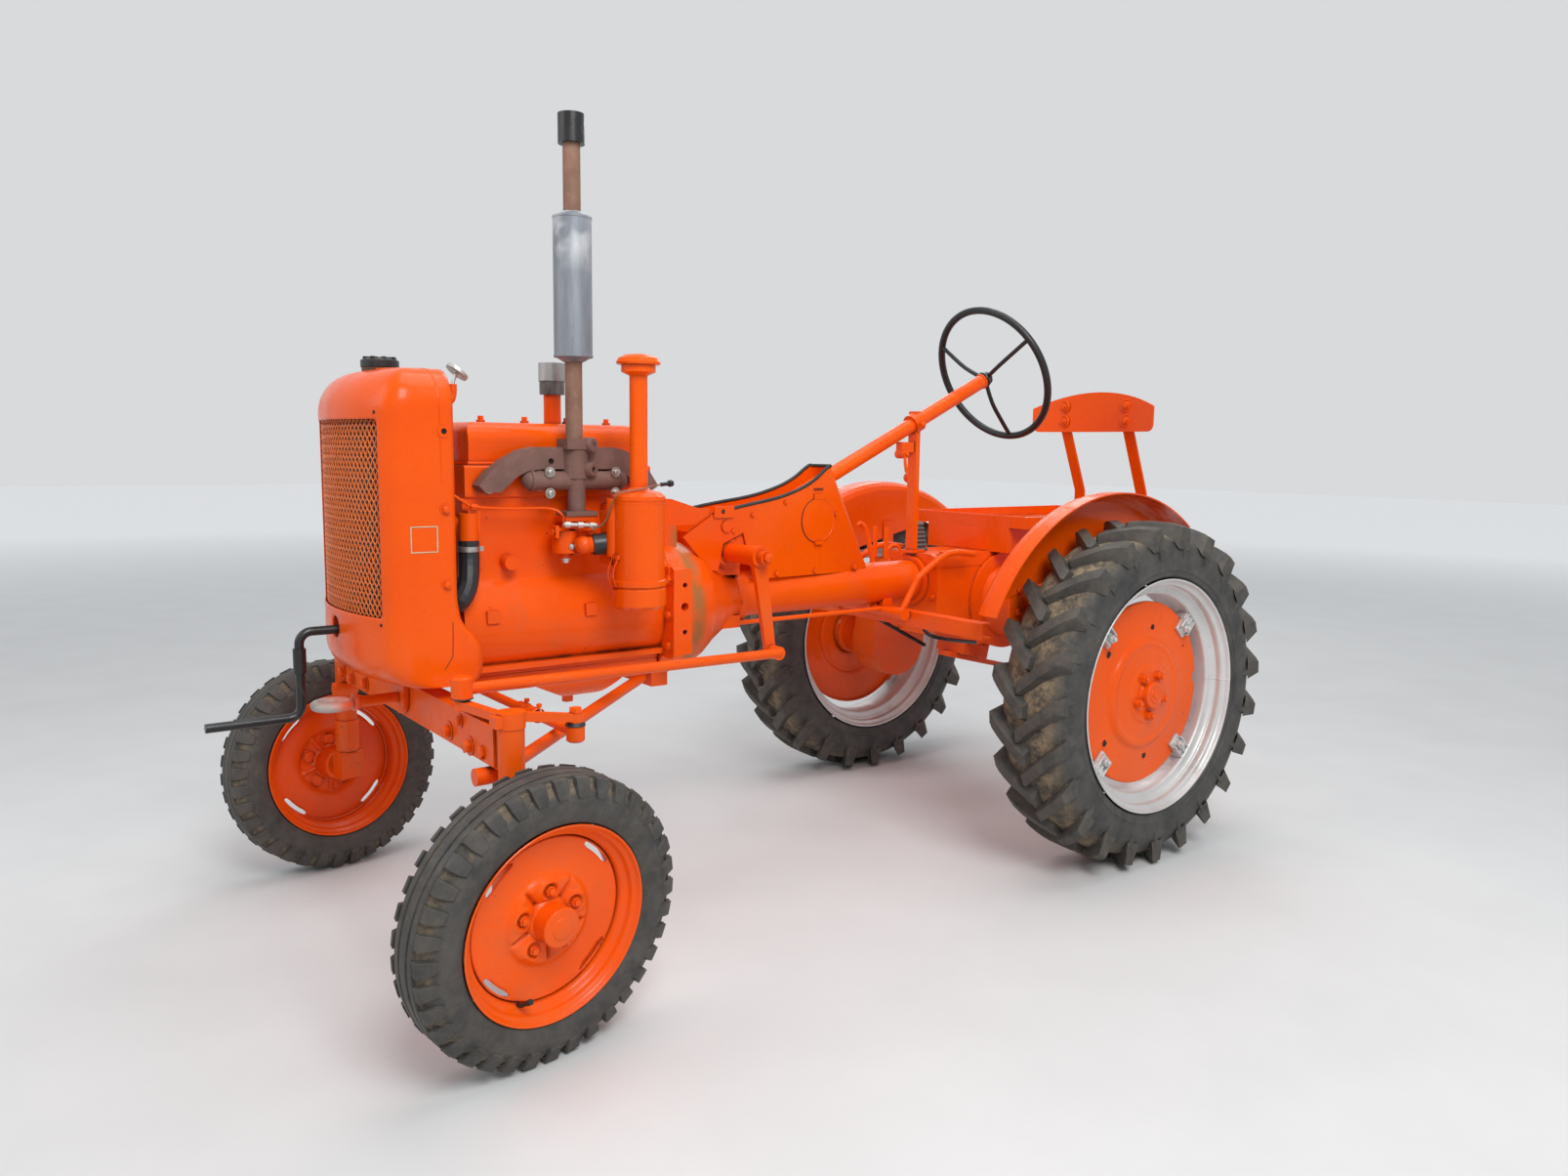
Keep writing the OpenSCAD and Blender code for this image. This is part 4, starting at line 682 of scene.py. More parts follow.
def makeFrontTyre(side):
    look = frontTyre
    spot = wheelSpot("front_" + side + "_spin", side)
    tip, half = reachOf("front_tyre_" + side, spot)
    half -= look["narrow"]
    deep = tip - look["groove"]
    section = [(look["beadRadius"] + up, half - inside) for up, inside in look["wall"]]
    section += [(tip - 0.032, half - 0.006), (tip - 0.022, half - 0.011), (deep - 0.006, half - 0.020),
                (deep, 0.034), (deep, 0.030), (tip - 0.0008, 0.029), (tip, 0.016), (deep, 0.0145),
                (deep, 0.0115), (tip, 0.010), (tip, 0)]
    section = wholeSection(section)
    bag = MeshBag()
    bag.add(lathe(section, look["steps"]), spot)
    for i, (r, a) in enumerate(section * look["steps"]):
        bag.marks[i] = 1.0 if tip - 0.03 < r < tip - 0.003 and abs(a) < half - 0.008 else 0.1

    # shoulder blocks: place across, drop under the tip, share of the width
    stations = [(0.0335, 0.0, 0.95), (0.044, -0.0012, 1.0), (half - 0.009, -0.009, 1.0),
                (half - 0.0035, -0.020, 0.95), (half - 0.0002, -0.034, 0.7)]
    wide = math.pi / look["blocks"] * 0.60
    for way in (-1, 1):
        for i in range(look["blocks"]):
            middle = 2 * math.pi * (i + (0.5 if way < 0 else 0)) / look["blocks"]
            points = []
            for across, drop, widen in stations:
                top = tip + drop
                foot = top - 0.015
                for radius, reach in ((foot, wide * 1.12), (top, wide), (top, -wide), (foot, -wide * 1.12)):
                    inward = 0.006 if radius == foot and across > 0.05 else 0
                    points.append(around(radius, middle + reach * widen, (across - inward) * way))
            bag.add((points, blockFaces(len(stations))), spot, 0.1)
    bag.make("front_tyre_tread_" + side, "front_" + side, frontRubber, 40, 0.0012,
             ["front_tyre_" + side])


for side in ("left", "right"):
    makeRearTyre(side)
    makeFrontTyre(side)
print("tyres made")


# Wheels: rims, discs and hubs, spun about their axles

def spunSheet(profile, turns, lift=None, cut=None, edge=None):
    # profile holds (radius, height) from the outside in;
    # lift raises points, cut opens cells, edge trims radii
    points, faces = [], []
    for turn in turns:
        for radius, height in profile:
            r = edge(radius, turn) if edge else radius
            points.append(around(r, turn, height + (lift(r, turn) if lift else 0)))
    n, m = len(profile), len(turns)
    for i in range(m):
        j = (i + 1) % m
        middle = (turns[i] + (turns[j] if j else turns[0] + 2 * math.pi)) / 2
        for k in range(n - 1):
            if cut and cut((profile[k][0] + profile[k + 1][0]) / 2, middle):
                continue
            faces.append((i * n + k, j * n + k, j * n + k + 1, i * n + k + 1))
    return points, faces


def evenTurns(steps, extra=()):
    turns = {round(2 * math.pi * i / steps, 5) for i in range(steps)}
    turns |= {round(math.radians(a) % (2 * math.pi), 5) for a in extra}
    return sorted(turns)


def nearest(turn, angles):
    # signed distance in radians from a turn to the nearest of some angles in degrees
    gaps = [(turn - math.radians(a) + math.pi) % (2 * math.pi) - math.pi for a in angles]
    return min(gaps, key=abs)


def wheelNut(bag, spot, turn, washer, nut, end):
    # washer, nut and bolt end, each as radius, low, high, sides and maybe the radius of its top
    bag.add(plug(*washer), spot)
    bag.add(plug(*nut), spot @ Matrix.Rotation(turn, 4, "Z"))
    bag.add(plug(*end), spot)


frontRim = {
    # from the rolled lip to the middle of the well: (radius, distance from the middle)
    "section": [(0.1862, 0.0492), (0.1880, 0.0506), (0.1883, 0.0526), (0.1870, 0.0539), (0.1850, 0.0536),
                (0.1835, 0.0515), (0.1815, 0.0470), (0.1785, 0.0430), (0.1750, 0.0412), (0.1728, 0.0380),
                (0.1722, 0.0320), (0.1700, 0.0290), (0.1640, 0.0250), (0.1600, 0.0215), (0.1580, 0.0150),
                (0.1575, 0)],
    # pressed disc, from the rim to the nuts
    "disc": [(0.1585, 0.004), (0.1560, 0.0115), (0.1545, 0.0150), (0.1535, 0.0158), (0.1520, 0.0161),
             (0.1505, 0.0161), (0.1490, 0.0160), (0.1475, 0.0159), (0.1460, 0.0158), (0.1445, 0.0157),
             (0.1430, 0.0155), (0.1415, 0.0153), (0.135, 0.0145), (0.120, 0.0135), (0.105, 0.0135),
             (0.096, 0.0140), (0.090, 0.0150), (0.087, 0.0170), (0.084, 0.0200), (0.081, 0.0225),
             (0.078, 0.0240), (0.075, 0.0245)],
    "hub": [(0.044, 0.014), (0.040, 0.022), (0.0365, 0.025), (0.0355, 0.030), (0.0355, 0.056),
            (0.0375, 0.057), (0.0375, 0.061), (0.0345, 0.0635), (0.0240, 0.064), (0.0215, 0.0645),
            (0.0200, 0.0665), (0.0170, 0.0672), (0, 0.0675)],
    "hubBack": [(0, -0.054), (0.036, -0.054), (0.041, -0.050), (0.041, 0.012), (0.046, 0.0155)],
    "slots": (45, 135, 225, 315),
    "slotReach": 14.0,     # degrees to each side
    "slotCircle": 0.1480,
    "slotHalf": 0.0062,    # half of a slot's height
    "petals": 0.086,       # outer radius of the pressed petals
    "nutCircle": 0.058,
    "nut": ((0.0145, -0.001, 0.0022, 24, 0.0125), (0.0108, 0.002, 0.0105, 6, 0.0098),
            (0.0062, 0.0100, 0.0150, 18)),
}


def makeFrontWheel(side):
    look = frontRim
    spot = wheelSpot("front_" + side + "_spin", side)
    body = "front_" + side
    bag = MeshBag()
    bag.add(spunSheet(wholeSection(look["section"]), evenTurns(96)), spot)
    nutTurns = [72 * i + 20 for i in range(5)]
    folds = [a + 36 for a in nutTurns]

    def press(radius, turn):
        # pressed petals: a dimple at each nut and a fold between two of them
        if radius > look["petals"]:
            return 0
        fade = min(1.0, (look["petals"] - radius) / 0.010) * min(1.0, max(0.0, (radius - 0.036) / 0.006))
        fold = radius * nearest(turn, folds)
        nut = nearest(turn, nutTurns)
        away = math.hypot(radius * math.cos(nut) - look["nutCircle"], radius * math.sin(nut))
        return fade * (-0.0085 * math.exp(-(fold / 0.0045) ** 2) - 0.005 * math.exp(-(away / 0.012) ** 4)
                       + 0.0040 * math.exp(-((away - 0.018) / 0.0055) ** 2))

    def slot(radius, turn):
        along = nearest(turn, look["slots"]) / math.radians(look["slotReach"])
        return abs(along) < 1 and ((radius - look["slotCircle"]) / look["slotHalf"]) ** 2 + along ** 6 < 1

    fine = [a + d for a in look["slots"] for d in (-14, -13.6, -13, -12, -10.5, 10.5, 12, 13, 13.6, 14)]
    disc = look["disc"] + [(0.075 - 0.003 * i, 0.0245 - 0.0004 * i) for i in range(1, 14)]
    bag.add(spunSheet(disc, evenTurns(180, fine), press, slot), spot)
    rim = bag.make("front_rim_" + side, body, wheelPaint, 50, 0, ["front_wheel_" + side])
    thicken(rim, 0.0035)
    hub = MeshBag()
    hub.add(lathe(look["hub"]), spot)
    hub.add(lathe(look["hubBack"]), spot)
    for a in nutTurns:
        seat = spot @ Matrix.Translation(around(look["nutCircle"], math.radians(a), 0.0182))
        wheelNut(hub, seat, a, *look["nut"])
    hub.make("front_hub_" + side, body, wheelPaint, 35, 0.0008)
    # valve stem beside the rim, bent in towards the axle
    stem = MeshBag()
    foot = Vector((-0.060, -0.1475, 0.019))
    inward = Vector((0.060, 0.1475, 0)).normalized()
    up = Vector((0, 0, 1))
    bent = (foot, foot + inward * 0.004 + up * 0.012, foot + inward * 0.016 + up * 0.027)
    stem.add(tube(bent, 0.0042), spot)
    tip = facing(foot + inward * 0.014 + up * 0.025, inward * 0.8 + up)
    stem.add(plug(0.0056, 0.0, 0.009, 12), spot @ tip)
    stem.make("valve_stem_" + side, body, hoseRubber, 40)


rearRim = {
    # from the rolled lip to the middle of the well: (radius, distance from the middle)
    "section": [(0.3190, 0.0960), (0.3215, 0.0972), (0.3220, 0.0995), (0.3205, 0.1009), (0.3180, 0.1006),
                (0.3162, 0.0985), (0.3150, 0.0930), (0.3125, 0.0880), (0.3080, 0.0850), (0.3045, 0.0840),
                (0.3028, 0.0820), (0.3022, 0.0720), (0.3028, 0.0660), (0.3010, 0.0635), (0.2985, 0.0628),
                (0.2965, 0.0600), (0.2930, 0.0560), (0.2860, 0.0530), (0.2805, 0.0520), (0.2775, 0.0495),
                (0.2762, 0.0440), (0.2758, 0.0200), (0.2758, 0)],
    # pressed plate, from its edge to the axle, with a raised ring half way
    "plate": [(0.253, 0.019), (0.253, 0.0285), (0.2518, 0.0302), (0.250, 0.031), (0.245, 0.031),
              (0.228, 0.0308), (0.205, 0.0312), (0.185, 0.0325), (0.165, 0.0342), (0.1575, 0.0355),
              (0.1535, 0.0385), (0.1495, 0.0430), (0.1450, 0.0462), (0.1400, 0.0478), (0.1350, 0.0480),
              (0.1315, 0.0470), (0.1290, 0.0455), (0.1260, 0.0455), (0.110, 0.0475), (0.090, 0.0500),
              (0.0840, 0.0505), (0.0820, 0.0512), (0.0800, 0.0535), (0.0780, 0.0545), (0.045, 0.0550),
              (0.001, 0.0550)],
    "notches": (4, 182),
    "notchCircle": 0.257,
    "notchRadius": 0.0208,
    # holes of the plate: angle, radius of their circle, radius of the hole
    "holes": ((80, 0.182, 0.0085), (-83, 0.182, 0.0085), (-142, 0.196, 0.0095), (142, 0.196, 0.0095),
              (32, 0.215, 0.0035)),
    "hub": [(0.042, 0.054), (0.0375, 0.0575), (0.0365, 0.060), (0.0365, 0.0735), (0.0345, 0.0765),
            (0.0245, 0.0770), (0.0235, 0.0755), (0.0215, 0.0755), (0.0205, 0.0775), (0.0160, 0.0785),
            (0.0145, 0.0775), (0.0100, 0.0775), (0.0095, 0.0800), (0, 0.0802)],
    "hubBack": [(0, -0.092), (0.040, -0.092), (0.060, -0.088), (0.062, 0.018), (0.075, 0.024)],
    "nutCircle": 0.059,
    "nut": ((0.0155, -0.001, 0.0030, 24), (0.0130, 0.002, 0.0150, 6, 0.0120), (0.0072, 0.014, 0.0215, 18)),
    "clampCircle": 0.236,
    "clampNut": ((0.0165, 0.039, 0.0435, 24), (0.0125, 0.043, 0.0555, 6, 0.0118),
                 (0.0065, 0.054, 0.0635, 16)),
}


def makeRearWheel(side):
    look = rearRim
    spot = wheelSpot("rear_" + side + "_spin", side)
    body = "rear_" + side
    bag = MeshBag()
    bag.add(spunSheet(wholeSection(look["section"]), evenTurns(144)), spot)
    rim = bag.make("rear_rim_band_" + side, body, rimPaint, 60, 0, ["rear_rim_" + side])
    thicken(rim, 0.003)
    # weld seam across the rim
    seam = MeshBag()
    path = [(r - 0.0004, 0, z) for r, z in look["section"][4:20]]
    seam.add(tube(path, 0.0014, 8), spot @ Matrix.Rotation(math.radians(2), 4, "Z"))
    seam.make("rim_weld_" + side, body, rimPaint, 0)

    def notch(radius, turn):
        gap = nearest(turn, look["notches"])
        across = look["notchCircle"] * math.sin(abs(gap))
        if radius < 0.20 or across >= look["notchRadius"]:
            return radius
        limit = look["notchCircle"] * math.cos(gap) - math.sqrt(look["notchRadius"] ** 2 - across ** 2)
        return min(radius, limit - (look["plate"][0][0] - radius) * 0.02)

    steps = (0.6, 1.4, 2.2, 3.0, 3.6, 4.1, 4.5, 4.65, 4.8)  # degrees from a notch's middle
    fine = [a + s * g for a in look["notches"] for g in steps for s in (-1, 1)]
    disc = MeshBag()
    disc.add(spunSheet(look["plate"], evenTurns(144, fine), None, None, notch), spot)
    plate = disc.make("rear_plate_" + side, body, wheelPaint, 40, 0, ["rear_disc_" + side])
    thicken(plate, 0.006)
    hub = MeshBag()
    dark = MeshBag()
    hub.add(lathe(look["hub"]), spot)
    hub.add(lathe(look["hubBack"]), spot)
    for i in range(5):
        seat = spot @ Matrix.Translation(around(look["nutCircle"], math.radians(72 * i + 54), 0.0545))
        wheelNut(hub, seat, i * 0.5, *look["nut"])
    # each hole gets a raised ring and a dark disc of painted shade, as the plate is not cut through
    for angle, circle, radius in look["holes"]:
        turn = math.radians(angle)
        z = 0.0325 if circle < 0.19 else 0.0315
        seat = spot @ Matrix.Translation(around(circle, turn, z)) @ Matrix.Rotation(turn, 4, "Z")
        dark.add(plug(radius, -0.002, 0.0008, 24), seat)
        ring = [(radius + 0.0045, -0.001), (radius + 0.003, 0.0014), (radius + 0.0006, 0.0018),
                (radius, 0.0004)]
        hub.add(lathe(ring, 28), seat)
    hub.make("rear_hub_" + side, body, wheelPaint, 35, 0.0008)
    dark.make("rear_plate_holes_" + side, body, holeBlack, 0)
    # four clamps with three ribs each hold the plate to the rim
    clamps = MeshBag()
    for i in range(4):
        place = spot @ Matrix.Rotation(math.radians(45 + 90 * i), 4, "Z")
        clamps.add(brick((0.216, -0.021, 0.0305), (0.262, 0.021, 0.0400)), place)
        clamps.add(brick((0.2545, -0.023, 0.012), (0.2755, 0.023, 0.0440)), place)
        for y, start in ((-0.0215, 0.226), (-0.0025, 0.250), (0.0165, 0.226)):
            clamps.add(brick((start, y, 0.0395), (0.2745, y + 0.005, 0.0510)), place)
        wheelNut(clamps, place @ Matrix.Translation((look["clampCircle"], 0, 0)), 0.3 * i, *look["clampNut"])
    clamps.make("rim_clamps_" + side, body, silverPaint, 35, 0.0016)


for side in ("left", "right"):
    makeFrontWheel(side)
    makeRearWheel(side)
print("wheels made")


# Radiator shell: one bowed pressing with soft corners, drawn row by row from the bottom edge to the top

shellForm = {
    "half": 0.2405,       # half of its width
    "bow": 0.606,         # radius of the front, seen from above
    "corner": 0.050,      # radius between the front and the sides
    "sideTop": 0.078,     # radius between the sides and the top
    "frontTop": 0.088,    # radius between the front and the top
    "frontFoot": 0.060,   # radius under the front
    "crown": 0.006,       # how much the middle of the top stands up
    "window": (0.203, 0.779, 1.174, 0.010),  # half width, low edge, high edge, corner radius
    "crankHole": (0.740, 0.024),             # height and radius
    "sheet": 0.003,
}
shellRear = ((0.634, 0.972), (0.642, 0.957), (0.660, 0.948), (0.690, 0.946), (0.716, 0.950), (0.735, 0.962),
             (0.752, 0.980), (0.772, 0.991), (0.800, 0.997), (0.822, 0.9985), (1.3, 0.9985))


def shellRearAt(z):
    for (z0, x0), (z1, x1) in zip(shellRear, shellRear[1:]):
        if z <= z1:
            return x0 + (x1 - x0) * max(0.0, (z - z0) / (z1 - z0))
    return shellRear[-1][1]


def makeShell():
    look = shellForm
    low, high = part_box("grille_shell")
    bottom, top, front = low.z, high.z - look["crown"], high.x
    halfWindow, windowLow, windowHigh, windowCorner = look["window"]
    holeHeight, holeRadius = look["crankHole"]

    def insetAt(z):
        # how far the sides and the front have turned in at this height
        side = max(0.0, z - (top - look["sideTop"]))
        ahead = max(0.0, z - (top - look["frontTop"]))
        under = max(0.0, bottom + look["frontFoot"] - z)
        turn = look["sideTop"] - math.sqrt(max(0.0, look["sideTop"] ** 2 - side ** 2))
        nose = look["frontTop"] - math.sqrt(max(0.0, look["frontTop"] ** 2 - ahead ** 2))
        nose += look["frontFoot"] - math.sqrt(max(0.0, look["frontFoot"] ** 2 - under ** 2))
        return turn, nose

    def planAt(z, frontLines):
        turn, nose = insetAt(z)
        half, tip = look["half"] - turn, front - nose
        corner = max(0.014, look["corner"] - 0.7 * turn)
        bow = look["bow"]
        lean = math.asin((half - corner) / (bow - corner))
        edge = bow * math.sin(lean)
        middle = Vector((tip - bow + (bow - corner) * math.cos(lean), half - corner))
        left = [Vector((tip - bow + math.sqrt(bow ** 2 - (edge * f) ** 2), edge * f)) for f in frontLines]
        for i in range(1, 9):
            a = lean + (math.pi / 2 - lean) * i / 8
            left.append(middle + corner * Vector((math.cos(a), math.sin(a))))
        rear = shellRearAt(z)
        for i in range(1, 9):
            left.append(Vector((middle.x + (rear - middle.x) * i / 8, half)))
        return left

    flat = planAt((windowLow + windowHigh) / 2, [1.0])
    edge = flat[0].y
    lines = [0, 0.015, 0.032]
    lines += [0.032 + (halfWindow - 0.014 - 0.032) * i / 14 for i in range(1, 15)]
    lines += [halfWindow - 0.010, halfWindow - 0.006, halfWindow - 0.002, halfWindow + 0.002]
    frontLines = [y / edge for y in lines] + [1.0]
    windowColumn = len(lines) - 1
    heights = [bottom + look["frontFoot"] * (1 - math.cos(math.pi / 2 * i / 8)) for i in range(9)]
    heights += [0.705, 0.713, 0.726, 0.740, 0.754, 0.767, windowLow - 0.004]
    heights += [windowLow + d for d in (0.002, 0.006, 0.010, 0.014)]
    heights += [windowLow + 0.014 + (windowHigh - windowLow - 0.028) * i / 24 for i in range(1, 24)]
    heights += [windowHigh - d for d in (0.014, 0.010, 0.006, 0.002)] + [windowHigh + 0.004]
    knee = top - look["frontTop"]
    heights += [knee] + [knee + look["frontTop"] * math.sin(math.pi / 2 * i / 14) for i in range(1, 15)]
    heights = sorted(set(round(z, 6) for z in heights))

    points, faces = [], []
    rows = []
    for z in heights:
        left = planAt(z, frontLines)
        row = [Vector((p.x, -p.y, z)) for p in reversed(left[1:])] + [Vector((p.x, p.y, z)) for p in left]
        rows.append([len(points) + i for i in range(len(row))])
        points += row
    count = len(rows[0])
    centre = count // 2

    def blockOf(column, z0, z1):
        # columns on both sides of the middle, and rows between two heights
        inRows = [k for k, z in enumerate(heights) if z0 - 1e-5 <= z <= z1 + 1e-5]
        return centre - column, centre + column, inRows[0], inRows[-1]

    blocks = [blockOf(windowColumn, windowLow - 0.004, windowHigh + 0.004), blockOf(2, 0.713, 0.767)]
    for k in range(len(heights) - 1):
        for i in range(count - 1):
            if any(c0 <= i < c1 and r0 <= k < r1 for c0, c1, r0, r1 in blocks):
                continue
            faces.append((rows[k][i], rows[k][i + 1], rows[k + 1][i + 1], rows[k + 1][i]))

    def border(block):
        c0, c1, r0, r1 = block
        loop = [rows[r0][i] for i in range(c0, c1)] + [rows[k][c1] for k in range(r0, r1)]
        return loop + [rows[r1][i] for i in range(c1, c0, -1)] + [rows[k][c0] for k in range(r1, r0, -1)]

    def onBow(y, z, drop=0.0):
        return Vector((front - look["bow"] + math.sqrt(look["bow"] ** 2 - y * y) - drop, y, z))

    def trim(block, inner, drop=0.0):
        # joins the border of a block to an inner loop that lies on the bowed front
        outerLoop = border(block)
        first = len(points)
        for index in outerLoop:
            y, z = inner(points[index].y, points[index].z)
            points.append(onBow(y, z, drop))
        for i in range(len(outerLoop)):
            n = (i + 1) % len(outerLoop)
            faces.append((outerLoop[i], outerLoop[n], first + n, first + i))

    def windowEdge(y, z):
        r = windowCorner
        cy = max(-halfWindow + r, min(halfWindow - r, y))
        cz = max(windowLow + r, min(windowHigh - r, z))
        if abs(y) < halfWindow - r and (z < windowLow or z > windowHigh):
            return y, windowLow if z < windowLow else windowHigh
        if windowLow + r < z < windowHigh - r:
            return math.copysign(halfWindow, y), z
        away = Vector((y - cy, z - cz)).normalized() * r
        return cy + away.x, cz + away.y

    def holeEdge(y, z):
        away = Vector((y, z - holeHeight)).normalized() * holeRadius
        return away.x, holeHeight + away.y

    trim(blocks[0], windowEdge)
    trim(blocks[1], holeEdge)

    # the top: strips from side to side over each pair of points of the last row
    last = rows[-1]
    across = 10
    grid = []
    for i in range(centre + 1):
        a, b = points[last[i]], points[last[count - 1 - i]]
        line = [last[i]]
        for k in range(1, across):
            t = k / across
            p = a.lerp(b, t)
            ahead = min(1.0, i / 8)
            p.z += look["crown"] * math.sin(math.pi * t) * min(1.0, (centre - i) / 6) * max(0.4, ahead)
            line.append(len(points))
            points.append(p)
        line.append(last[count - 1 - i])
        grid.append(line)
    for i in range(centre):
        for k in range(across):
            quad = (grid[i][k], grid[i + 1][k], grid[i + 1][k + 1], grid[i][k + 1])
            faces.append(tuple(dict.fromkeys(quad)))
    faces[:] = [face for face in faces if len(set(face)) > 2]

    bag = MeshBag()
    bag.add((points, faces))
    shell = bag.make("radiator_shell", "chassis", sheetPaint, 38, 0, ["grille_shell"])
    weldPoints(shell, 0.00005)
    thicken(shell, look["sheet"])


makeShell()
print("shell made")


# Expanded metal in the curved front of the radiator shell

grille = {
    "columns": 27,
    "rows": 19,
    "strand": 0.0019,    # half of a strand's width
    "bow": 0.6007,       # radius of the sheet, seen from above
    "lap": 0.006,        # how far the sheet reaches behind the shell
    # lighter than the shell's orange: painted light on the strands
    "colour": (1.0, 0.24, 0.06),
}


def makeGrille():
    look = grille
    # painted light: the strands get a lighter orange than the shell
    strandPaint = makePaint("orange_strands_painted_lighter", 420, 0.00012, 0.3, 0.05, 0.1, colour=look["colour"])
    low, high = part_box("grille_mesh")
    middle = high.x - look["bow"]
    halfAngle = math.asin((high.y - look["lap"] * 0.4) / look["bow"])
    z0, z1 = low.z + look["lap"] * 0.6, high.z - look["lap"] * 0.6
    radius = look["bow"] - 0.0022

    def onSheet(column, row, out=0.0):
        turn = -halfAngle + 2 * halfAngle * column / look["columns"]
        return Vector((middle + (radius + out) * math.cos(turn), (radius + out) * math.sin(turn),
                       z0 + (z1 - z0) * row / look["rows"]))

    bag = MeshBag()
    for way in (-1, 1):
        for start in range(-look["rows"], look["columns"] + 1):
            run = []
            for step in range(look["rows"] * 2 + 1):
                row = step / 2
                column = start + row if way > 0 else start + look["rows"] - row
                if 0 <= column <= look["columns"]:
                    # the two families pass in front of each other a little, as the pressed sheet does
                    run.append(onSheet(column, row, 0.0007 * math.cos(math.pi * 2 * row) * way))
            if len(run) > 1:
                bag.add(tube(run, look["strand"], 4, 0.8))
    bag.make("grille_strands", "chassis", strandPaint, 0, 0, ["grille_mesh"])


makeGrille()
print("grille made")


# Bolts, nuts and washers

# bolts of the castings; size is the radius of a head, out to its corners
boltRows = {
    "manifold": {"size": 0.0080, "places": ((0.885, 0.142, 1.034), (0.758, 0.171, 1.069),
                                            (0.758, 0.171, 1.023), (0.596, 0.171, 1.069),
                                            (0.597, 0.171, 1.023))},
    "shell": {"size": 0.0080, "x": 1.018, "heights": (1.152, 0.997, 0.845), "openAbove": 1.1},
    "engineFlange": {"size": 0.0100, "x": 0.4525, "y": 0.171, "heights": (0.655, 0.730, 0.815)},
    "head": {"size": 0.008, "count": 6, "start": 0.035, "step": 0.077, "y": -0.111, "z": 1.082},
    "bell": {"size": 0.006, "count": 6, "x": 0.1745, "z": 0.729, "radius": 0.068},
    "gearCaseFlange": {"size": 0.008, "x": -0.492, "places": ((0.095, 0.79), (0.098, 0.70), (0.09, 0.615))},
    "gearCaseLid": {"size": 0.007, "count": 4, "start": -0.83, "step": 0.10, "y": 0.088, "z": 0.824},
    "axleBeam": {"x": 1.0335, "places": ((0.275, 0.552, 0.0135), (0.385, 0.545, 0.0135), (0.46, 0.55, 0.0135),
                                         (0.335, 0.585, 0.010))},
    "fenders": {"size": 0.009, "y": 0.4405, "places": ((-0.467, 0.760), (-0.467, 0.700), (-0.505, 0.700))},
    "steeringBox": {"size": 0.007, "y": 0.0705, "places": ((0.262, 0.905), (0.262, 0.840), (0.205, 0.915))},
    "columnClamp": {"size": 0.0085, "x": -0.490, "y": 0.0305, "z": 1.203},
}


def bothSides(x, y, z):
    return ((x, y, z), (x, -y, z))


def makeCastingBolts():
    # the heads are turned by odd amounts, so that they don't all stand alike
    silver = MeshBag()
    painted = MeshBag()
    row = boltRows["manifold"]
    for place in row["places"]:
        boltInto(silver, place, (0, 1, 0), row["size"], turn=place[0] * 40)
    # both sides of the shell; the hole at the top of its left side is open
    row = boltRows["shell"]
    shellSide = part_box("grille_shell")[1].y
    for z in row["heights"]:
        for y in (shellSide, -shellSide):
            if z < row["openAbove"] or y < 0:
                boltInto(painted, (row["x"], y, z), (0, y, 0), row["size"], turn=z * 30)
    # flange between the engine and the bell housing
    row = boltRows["engineFlange"]
    for z in row["heights"]:
        for place in bothSides(row["x"], row["y"], z):
            boltInto(painted, place, (1, 0, 0), row["size"], turn=z * 50)
    # right edge of the cylinder head
    row = boltRows["head"]
    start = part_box("cylinder_head")[0].x + row["start"]
    for i in range(row["count"]):
        boltInto(painted, (start + i * row["step"], row["y"], row["z"]), (0, 0, 1), row["size"], turn=i)
    # ring behind the bell housing
    row = boltRows["bell"]
    for i in range(row["count"]):
        turn = math.radians(30 + 60 * i)
        place = (row["x"], row["radius"] * math.sin(turn), row["z"] + row["radius"] * math.cos(turn))
        boltInto(painted, place, (-1, 0, 0), row["size"], turn=i)
    # both sides of the transmission's front flange, and its lid
    row = boltRows["gearCaseFlange"]
    for side in (1, -1):
        for y, z in row["places"]:
            boltInto(painted, (row["x"], side * y, z), (1, 0, 0), row["size"], turn=z * 60)
    row = boltRows["gearCaseLid"]
    for i in range(row["count"]):
        for place in bothSides(row["start"] + i * row["step"], row["y"], row["z"]):
            boltInto(painted, place, (0, 0, 1), row["size"], turn=i)
    # front face of the axle beam
    row = boltRows["axleBeam"]
    for y, z, size in row["places"]:
        for side in (-1, 1):
            boltInto(painted, (row["x"], side * y, z), (1, 0, 0), size, turn=y * 20)
    # fenders to their feet and to the footrest's end
    row = boltRows["fenders"]
    for side in (-1, 1):
        for x, z in row["places"]:
            boltInto(painted, (x, side * row["y"], z), (0, side, 0), row["size"], turn=z * 40)
    # steering box lid, and the clamp round the column at the top of its post
    row = boltRows["steeringBox"]
    for x, z in row["places"]:
        boltInto(painted, (x, row["y"], z), (0, 1, 0), row["size"], turn=z * 30)
    row = boltRows["columnClamp"]
    for side in (-1, 1):
        boltInto(painted, (row["x"], side * row["y"], row["z"]), (0, side, 0), row["size"], turn=side)
    silver.make("manifold_bolts", "chassis", bareSteel, 40)
    painted.make("painted_bolts", "chassis", castPaint, 40)


seatWasher = {
    "spread": 0.128,                             # distance from the middle of the seat back
    "heights": (1.232, 1.282),
    "faces": ((-1.3229, 1), (-1.3288, -1)),      # front and rear skin of the sheet, and which way it looks
    "profile": [(0.0225, -0.002), (0.0215, 0.0022), (0.0185, 0.0036), (0.0145, 0.0016), (0.0135, 0.0042),
                (0.0090, 0.0058), (0, 0.0062)],
}


